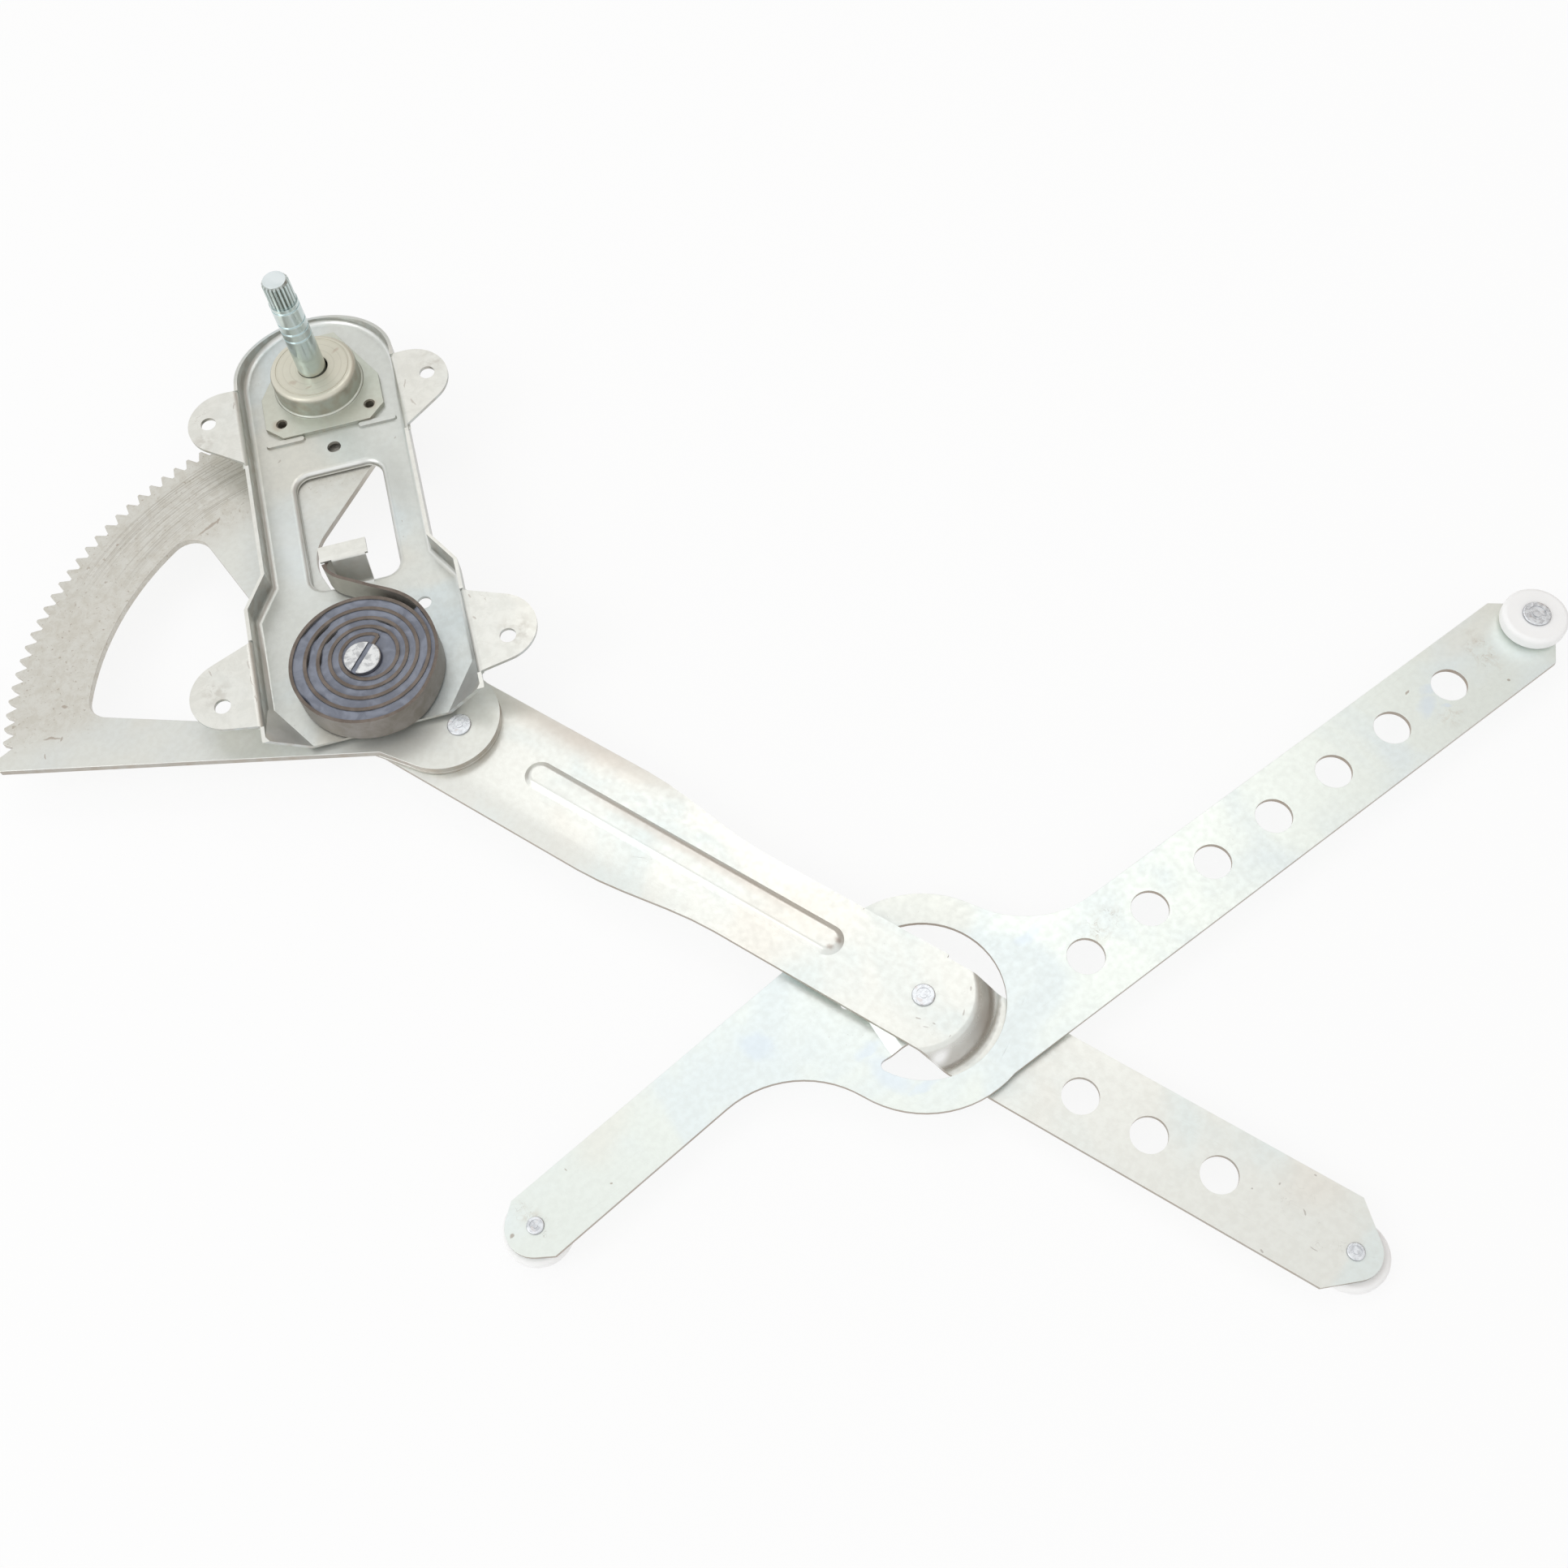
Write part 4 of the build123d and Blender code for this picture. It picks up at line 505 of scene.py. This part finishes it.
def grease_top(x, y, share):
    """Height of the grease at a point about the stud; the share runs from the inner turn to the outer."""
    lump = noise.noise(Vector((x / 3.5, y / 3.5, 3.1))) + 0.35 * noise.noise(Vector((x, y, 7.7)))
    cling = (2 * share - 1) ** 2
    gap = max(0.0, noise.noise(Vector((x / 9, y / 9, 1.3))) - 0.20) * max(0.0, 4 * share - 3)
    return SPRING_TOP_Z - GREASE_SINK + GREASE_CLING * cling + GREASE_LUMP * lump - GREASE_GAP * gap


def grease_band():
    """Closed ribbon of grease that fills the space between the turns of the coil."""
    points = []
    first = STUD_SLOT_ANGLE - 360
    last = GREASE_END_ANGLE - 360
    steps = int((last - first) / GREASE_STEP_ANGLE)
    for index in range(steps + 1):
        turned = first + (last - first) * index / steps
        angle = math.radians(turned)
        in_core = turned < STUD_SLOT_ANGLE
        core_rise = GREASE_CORE_RISE if in_core else 0.0
        inner = GREASE_CORE_R if in_core else spring_radius(turned) + SPRING_STRIP / 2
        outer = spring_radius(turned + 360) - SPRING_STRIP / 2
        row = []
        for step in range(GREASE_ACROSS):
            share = step / (GREASE_ACROSS - 1)
            radius = inner + (outer - inner) * share
            x = radius * math.cos(angle)
            y = radius * math.sin(angle)
            row.append((x, y + STUD_Y, grease_top(x, y, share) + core_rise))
        points += row
        points += [(end[0], end[1], SPRING_TOP_Z - GREASE_THICK) for end in (row[-1], row[0])]
    return points, bar_faces(GREASE_ACROSS + 2, steps)


def slot_filling():
    """Grease that has been pressed into the stud's slot."""
    reach, half = SLOT_GREASE
    points = []
    for index in range(SLOT_GREASE_ROWS + 1):
        along = reach * (2 * index / SLOT_GREASE_ROWS - 1)
        for across in SLOT_GREASE_ACROSS:
            dip = 0.35 * (1 - across ** 2) + 0.25 * noise.noise(Vector((along / 2.5, across, 5.0)))
            points.append((along, across * half, STUD_TOP_Z - SLOT_GREASE_SINK - dip))
        points += [(along, side, STUD_TOP_Z - SLOT_GREASE_DEPTH) for side in (half, -half)]
    turn = Matrix.Rotation(math.radians(STUD_SLOT_ANGLE), 3, "Z")
    placed = [turn @ Vector(point) + Vector((0, STUD_Y, 0)) for point in points]
    return placed, bar_faces(len(SLOT_GREASE_ACROSS) + 2, SLOT_GREASE_ROWS)


strip = Finish("oiled spring steel", 0.35, 0.42)
wear = strip.noise(150, 5, warp=0.4, rough=0.65)
color = strip.mix(strip.step(wear, 0.38, 0.66), (0.135, 0.108, 0.088), (0.20, 0.165, 0.140))
# The strip's upright sides are painted lighter than its top edge, as painted light.
lit_side_color = strip.mix(strip.step(wear, 0.35, 0.7), (0.19, 0.17, 0.145), (0.27, 0.25, 0.23))
color = strip.mix(strip.upright(), color, lit_side_color)
# The tail's side is painted lighter still, a painted highlight.
tail_lit_side = strip.times(strip.level(*TAIL_SIDE_Y, "Y"), strip.upright())
color = strip.lay(color, tail_lit_side, 0.75, (0.40, 0.39, 0.33))
strip.finish(color, strip.step(wear, 0.3, 0.7, 0.34, 0.5), strip.noise(420, 4), 0.06)
painted("counterbalance_spring", strip)
painted("wrap_spring", strip)

grease = Finish("blue-grey grease", 0.0, 0.32)
swirl = grease.noise(130, 4, warp=1.2)
color = grease.mix(grease.step(swirl, 0.35, 0.68), (0.165, 0.180, 0.225), (0.245, 0.268, 0.330))
dirty = grease.step(grease.noise(60, 3, warp=0.8), 0.60, 0.72, 0, 0.4)
color = grease.mix(dirty, color, (0.13, 0.125, 0.15))
drawn = grease.noise(300, 3, grease.turned(0, (1, 0.35, 1)), warp=0.8)
grease.finish(color, grease.step(swirl, 0.3, 0.7, 0.28, 0.42), drawn, 0.07)
own_piece("spring_grease", *grease_band(), grease, "base")
own_piece("slot_grease", *slot_filling(), grease, frame["nodes"]["pivot_stud"]["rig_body"])

# ---------------------------------------------------------------- pivot stud and bush
# The stud is riveted to the sector gear and turns in a bush in the pan; the spring sits in its slot.
# Its blasted top is bright and blotchy, and grease has darkened its sides and its slot.
stud = Finish("blasted zinc stud", 0.75, 0.42)
blotch = stud.noise(330, 5, warp=0.3, rough=0.7)
color = stud.mix(stud.step(blotch, 0.42, 0.62), (0.80, 0.81, 0.81), (0.50, 0.51, 0.52))
color = stud.mix(stud.upright(), color, (0.20, 0.20, 0.23))
stud.finish(color, stud.step(blotch, 0.3, 0.7, 0.36, 0.5), blotch, 0.12)
dressed("pivot_stud", stud, rim=0.15 * MM)
painted("pivot_bush", stud)

# ---------------------------------------------------------------- rivets, roller pins and washers
# Plain steel fastenings, headed cold over the sheets that they hold, which leaves their heads dented.
# The thrust washer under the pan and the washer at the scissor pivot have the same bright surface.
rivet = Finish("bright rivet", 0.75, 0.34)
dents = rivet.noise(420, 4, warp=1.6, rough=0.6)
color = rivet.mix(rivet.step(dents, 0.36, 0.60), (0.66, 0.68, 0.71), (0.88, 0.91, 0.94))
tinged = rivet.step(rivet.noise(260, 3, warp=0.5), 0.54, 0.68, 0, 0.45)
color = rivet.mix(tinged, color, (0.62, 0.50, 0.44))
color = rivet.lay(color, rivet.upright(), 0.7, (0.30, 0.30, 0.31))
rivet.finish(color, rivet.step(dents, 0.3, 0.7, 0.24, 0.42), dents, 0.08)
for node in ("thrust_washer", "sector_rivet_outer", "sector_rivet_inner", "scissor_rivet", "scissor_washer",
             "lift_roller_pin", "channel_roller_pin", "tail_roller_pin"):
    painted(node, rivet)

# ---------------------------------------------------------------- sector gear and spacer plate
# Thick bare steel, blanked with its teeth and riveted to the lift arm with a spacer plate.
# The rim keeps arc-shaped marks from the press and the pinion, and the cut faces are grey.
TARNISH_R = (100 * MM, 118 * MM)
TARNISH_Y = (6.0, 24.0)
ARCS_INNER_R = (108 * MM, 120 * MM)
ARCS_OUTER_R = (138 * MM, 141 * MM)
ARCS_Y = (70.0, 110.0)
SECTOR_PITS = ((-94.3, 101.0, 40, 0.9, 0.6), (-121.4, 28.0, -40, 1.7, 0.8), (-116.1, 67.2, 60, 0.6, 0.4),
               (-120.0, 61.3, 0, 0.5, 0.5), (-123.9, 56.3, 0, 0.5, 0.4), (-102.8, 60.1, 0, 0.6, 0.4),
               (-135.1, 40.0, 0, 0.5, 0.5), (-126.4, 14.6, -14, 5.1, 0.5), (-123, 13.4, 60, 1.6, 0.5),
               (-130.0, 7.2, -84, 1.6, 0.4), (-56.1, 98.7, 33, 7.0, 0.7), (-52.2, 101.1, 68, 2.4, 0.5))

sector = Finish("bare sector steel", 0.62, 0.42)
color, roughness, height = plated(
    sector, face=(0.78, 0.79, 0.74), cool=(0.74, 0.76, 0.73), warm=(0.76, 0.74, 0.67),
    stain=(0.56, 0.54, 0.48), side_tone=(0.40, 0.37, 0.33), side_share=0.8, grain=40, seed=0.13)
from_stud = sector.distance(0, STUD_Y)
skewed = sector.math("ADD", from_stud, sector.times(sector.axis("Y"), 0.08))
rim = sector.times(sector.step(skewed, *TARNISH_R), sector.level(*TARNISH_Y, "Y"))
tarnish = sector.mix(sector.step(sector.noise(260, 6, warp=0.5, rough=0.75), 0.36, 0.66),
                     (0.70, 0.685, 0.63), (0.60, 0.57, 0.50))
color = sector.lay(color, rim, 0.8, tarnish)
fine_pits = sector.times(sector.step(sector.noise(760, 3, warp=0.6), 0.63, 0.70), rim)
color = sector.lay(color, fine_pits, 0.5, (0.34, 0.27, 0.20))

arc_place = sector.combine(sector.times(from_stud, 1500), sector.times(sector.axis("X"), 16))
arcs = sector.step(sector.noise(1, 6, arc_place, rough=0.72), 0.48, 0.60)
near_teeth = sector.times(sector.step(from_stud, *ARCS_INNER_R),
                          sector.step(from_stud, *ARCS_OUTER_R, 1.0, 0.0))
arcs = sector.times(sector.times(near_teeth, sector.level(*ARCS_Y, "Y")), arcs)
color = sector.lay(color, arcs, 0.55, (0.33, 0.30, 0.25))
pits = sector.marks(sector.wobbled(), SECTOR_PITS)
color = sector.lay(color, pits, 0.6, (0.34, 0.26, 0.20))
height = sector.math("SUBTRACT", height, sector.times(arcs, 0.5))
sector.finish(color, roughness, height)
for node in ("sector_gear", "spacer_plate"):
    dressed(node, sector, rim=0.18 * MM)

# ---------------------------------------------------------------- lift arm
# Zinc-plated strip with turned-down edges and a pressed bead for stiffness, then a rounded step
# down to the flat end that carries the roller.
ARM_TICKS = ((186.6, -181.6, 62, 1.3, 0.4), (181.3, -189.2, 51, 1.1, 0.3), (174.2, -195.9, 38, 0.9, 0.3),
             (167.4, -190.9, -31, 1.6, 0.25), (165.6, -187.2, -35, 1.2, 0.25), (170.8, -190.7, -39, 0.8, 0.3),
             (279.3, -274.8, -60, 0.8, 0.4), (270.9, -285.2, -99, 1.9, 0.3), (252.2, -293.4, -77, 0.9, 0.5),
             (269.1, -297.9, -47, 1.7, 0.25), (266.9, -274.2, 30, 0.7, 0.4), (257.2, -273.1, 0, 0.5, 0.4))
ARM_RUBS = ((276, -294, -40, 13, 9), (168, -190, -40, 9, 6), (270, -282, -60, 12, 8))
ARM_EDGE_SHADE = (71.5, -41.5, -47, 62, 11)
BEAD_FLANK_SHADE = (101.7, -99.0, -47.5, 72, 4.6)
BEAD_END_WEAR = ((145.8, -150.8, -47, 1.9, 1.7), (142.6, -152.6, -47, 2.0, 1.7))
BEAD_Z = (-18.9, -18.0)
STEP_CENTRE = (167.1, -176.4)
STEP_INNER_R = (22.5 * MM, 26.2 * MM)
STEP_OUTER_R = (27.5 * MM, 30.5 * MM)
STEP_Z = (-19.3, -20.2)
STEP_GLINT = (169.5, -200.6, 40, 6.5, 4.0)

lift = Finish("satin zinc lift arm", 0.7, 0.4)
color, roughness, height = plated(
    lift, face=(0.86, 0.87, 0.82), cool=(0.82, 0.88, 0.86), warm=(0.85, 0.82, 0.75),
    stain=(0.62, 0.60, 0.55), side_tone=(0.34, 0.29, 0.24), side_share=0.85, grain=-47, seed=0.52, rim_brightening=0.15)
wavy = lift.wobbled()
color = lift.lay(color, lift.marks(wavy, ARM_TICKS), 0.55, (0.36, 0.31, 0.28))
rubbed = lift.squiggles(lift.marks(wavy, ARM_RUBS, 0.1))
color = lift.lay(color, rubbed, 0.45, (0.38, 0.34, 0.31))
# Painted shade along the turned-down upper edge, tan like the tent's dim side.
color = lift.lay(color, lift.mark(lift.place, *ARM_EDGE_SHADE, 0.0), 0.55, (0.66, 0.57, 0.49))
# Painted shade on the bead's upper flank, in the same tan.
bead_flank_shade = lift.times(lift.mark(lift.place, *BEAD_FLANK_SHADE, 0.2), lift.level(*BEAD_Z))
color = lift.lay(color, bead_flank_shade, 0.45, (0.66, 0.56, 0.48))
color = lift.lay(color, lift.marks(wavy, BEAD_END_WEAR, 0.2), 0.6, (0.42, 0.34, 0.29))

from_step = lift.distance(*STEP_CENTRE)
on_step = lift.times(lift.step(from_step, *STEP_INNER_R), lift.step(from_step, *STEP_OUTER_R, 1.0, 0.0))
on_step = lift.times(on_step, lift.level(*STEP_Z))
# The rounded step is painted darker, a painted dark reflection.
color = lift.lay(color, on_step, 0.65, (0.48, 0.46, 0.42))
# A painted highlight on the step.
glint = lift.times(lift.mark(lift.place, *STEP_GLINT, 0.0), on_step)
color = lift.mix(lift.math("MULTIPLY", glint, 1.5, clamp=True), color, (0.98, 0.98, 0.97))
roughness = lift.math("SUBTRACT", roughness, lift.times(on_step, 0.16))
lift.finish(color, roughness, height)
dressed("main_arm", lift, rim=0.12 * MM, weld=0.03 * MM)

# ---------------------------------------------------------------- equalizer arm
# The crossing arm: a ring round the scissor pivot with a long and a short arm, all one stamping,
# which turns on a rivet through the lift arm. Its zinc is paler and greener, with light blue bloom
# and fine scratches near the ends.
BLOOMS = ((151, -203, -60, 13, 6), (160, -210, 10, 9, 3), (146, -192, 20, 6, 3.5), (214, -166, 20, 9, 4),
          (393, -112, 30, 5, 3), (389, -119, 60, 7, 3.5), (396, -121, 10, 3, 2), (109, -180, -40, 10, 6))
EQUALIZER_RUBS = ((420, -102, -80, 16, 8), (397.3, -125.6, 0, 8, 6), (19, -218, -60, 13, 5),
                  (240, -170, 20, 16, 8))
RUST_SPOTS = ((11.0, -222.1, 60, 1.2, 0.7), (385.2, -110.7, 40, 1.5, 0.5), (424.4, -117.1, 0, 0.8, 0.6),
              (34.1, -204.3, -59, 0.8, 0.3), (47.9, -213.7, 0, 0.6, 0.4))

equalizer = Finish("pale zinc equalizer", 0.7, 0.4)
color, roughness, height = plated(
    equalizer, face=(0.87, 0.92, 0.87), cool=(0.84, 0.91, 0.91), warm=(0.87, 0.87, 0.80),
    stain=(0.64, 0.66, 0.62), side_tone=(0.34, 0.27, 0.22), side_share=0.85, grain=22, seed=0.94, rim_brightening=0.1)
bloom = equalizer.marks(equalizer.wobbled(90, 5), BLOOMS, 0.25)
color = equalizer.lay(color, bloom, 0.5, (0.74, 0.83, 0.93))
wavy = equalizer.wobbled()
rubbed = equalizer.marks(wavy, EQUALIZER_RUBS, 0.1)
color = equalizer.lay(color, equalizer.squiggles(rubbed, 300), 0.75, (0.38, 0.33, 0.28))
handled = equalizer.step(equalizer.noise(240, 5, warp=0.6, rough=0.7), 0.46, 0.62)
color = equalizer.lay(color, equalizer.times(handled, rubbed), 0.5, (0.64, 0.60, 0.52))
color = equalizer.lay(color, equalizer.marks(wavy, RUST_SPOTS), 0.6, (0.30, 0.21, 0.15))
equalizer.finish(color, roughness, height)
dressed("equalizer_arm", equalizer, rim=0.1 * MM)

# ---------------------------------------------------------------- rollers
# Turned white nylon wheels that run in the channels of the glass and the door.
# Each spins freely on a headed pin that is riveted into its arm.
nylon = Finish("white nylon", 0.0, 0.38)
milk = nylon.step(nylon.noise(90, 3, warp=0.4), 0.35, 0.7)
color = nylon.mix(milk, (0.97, 0.97, 0.965), (0.95, 0.95, 0.945))
nylon.plug(nylon.shader.inputs["Subsurface Weight"], 0.08)
nylon.plug(nylon.shader.inputs["Subsurface Radius"], (2 * MM, 2 * MM, 2 * MM))
nylon.finish(color, height=nylon.noise(800, 2), depth=0.02)
for node in ("lift_roller", "channel_roller", "tail_roller"):
    painted(node, nylon)

# ---------------------------------------------------------------- studio
# A white sweep under a bright tent, with large soft lamps on the left and above. The tent has
# a warm dim side on the right, so that upright faces on that side turn tan.
FLOOR_Z = -37.3 * MM
FLOOR_HALF = 6.0
PAPER_WHITE = (0.93, 0.93, 0.93)
PAPER_GLOW = 0.85
LIGHT_WHITE = (1.0, 1.0, 1.0)
TENT_DIM = (0.34, 0.28, 0.23)
TENT_STRENGTH = 0.88
DIM_SIDE = (0.84, 0.50, -0.21)
PART_CENTRE = Vector((0.19, -0.07, -0.015))

floor_mesh = bpy.data.meshes.new("floor")
corners = [(x * FLOOR_HALF, y * FLOOR_HALF, 0) for x, y in ((-1, -1), (1, -1), (1, 1), (-1, 1))]
floor_mesh.from_pydata(corners, [], [(0, 1, 2, 3)])
floor = bpy.data.objects.new("floor", floor_mesh)
floor.location.z = FLOOR_Z
bpy.context.scene.collection.objects.link(floor)

# The paper glows where it is seen, so that it looks even, and is plain paper where it lights the part.
paper = Finish("white paper", 0.0, 0.9)
paper.plug(paper.shader.inputs["Base Color"], PAPER_WHITE)
rays = paper.add("ShaderNodeLightPath").outputs
seen = paper.math("MAXIMUM", rays["Is Camera Ray"], rays["Is Glossy Ray"])
seen = paper.math("MAXIMUM", seen, rays["Is Transmission Ray"])
glow = paper.add("ShaderNodeEmission", {"Color": LIGHT_WHITE})
surface = paper.add("ShaderNodeMixShader", {0: paper.times(seen, PAPER_GLOW), 1: paper.shader.outputs[0],
                                            2: glow.outputs[0]})
paper.plug(paper.tree.nodes["Material Output"].inputs["Surface"], surface.outputs[0])
floor_mesh.materials.append(paper.material)

world = bpy.data.worlds.new("tent")
bpy.context.scene.world = world
world.use_nodes = True
tent = Recipe(world.node_tree)
heading = tent.add("ShaderNodeTexCoord").outputs["Generated"]
toward_dim = tent.vector_math("DOT_PRODUCT", {0: heading, 1: DIM_SIDE}, "Value")
fall = tent.add("ShaderNodeMapRange", {0: toward_dim, 1: 0.14, 2: 0.74}).outputs[0]
lit = tent.tree.nodes["Background"]
tent.plug(lit.inputs["Color"], tent.mix(fall, LIGHT_WHITE, TENT_DIM))
tent.plug(lit.inputs["Strength"], TENT_STRENGTH)
white = tent.add("ShaderNodeBackground", {"Color": LIGHT_WHITE})
seen = tent.add("ShaderNodeLightPath").outputs["Is Camera Ray"]
backdrop = tent.add("ShaderNodeMixShader", {0: seen, 1: lit.outputs[0], 2: white.outputs[0]})
tent.plug(tent.tree.nodes["World Output"].inputs["Surface"], backdrop.outputs[0])


def softbox(name, place, size, watts):
    """A large rectangular lamp that is aimed at the middle of the part."""
    light = bpy.data.lights.new(name, "AREA")
    light.shape = "RECTANGLE"
    light.size, light.size_y = size
    light.energy = watts
    lamp = bpy.data.objects.new(name, light)
    lamp.location = place
    lamp.rotation_mode = "QUATERNION"
    lamp.rotation_quaternion = (PART_CENTRE - Vector(place)).to_track_quat("-Z", "Y")
    bpy.context.scene.collection.objects.link(lamp)


softbox("left softbox", place=(-0.9, -0.3, 1.0), size=(0.7, 0.7), watts=2.8)
softbox("top softbox", place=(0.42, 0.62, 1.3), size=(1.0, 0.7), watts=2.0)

# ---------------------------------------------------------------- camera
# It looks down at the part from in front, a little turned and rolled.
# Its place is in mm and its turns are in degrees.
CAMERA_PLACE = Vector((95.86, -380.47, 556.09)) * MM
AZIMUTH = math.radians(-9.197)
ELEVATION = math.radians(62.391)
ROLL = math.radians(-6.407)

lens = bpy.data.cameras.new("camera")
lens.sensor_width = 36
lens.lens = 39.24
camera = bpy.data.objects.new("camera", lens)
aim = Matrix.Rotation(AZIMUTH, 4, "Z") @ Matrix.Rotation(math.pi / 2 - ELEVATION, 4, "X")
camera.matrix_world = Matrix.Translation(CAMERA_PLACE) @ aim @ Matrix.Rotation(ROLL, 4, "Z")
bpy.context.scene.collection.objects.link(camera)
bpy.context.scene.camera = camera
bpy.context.scene.view_settings.view_transform = "Standard"
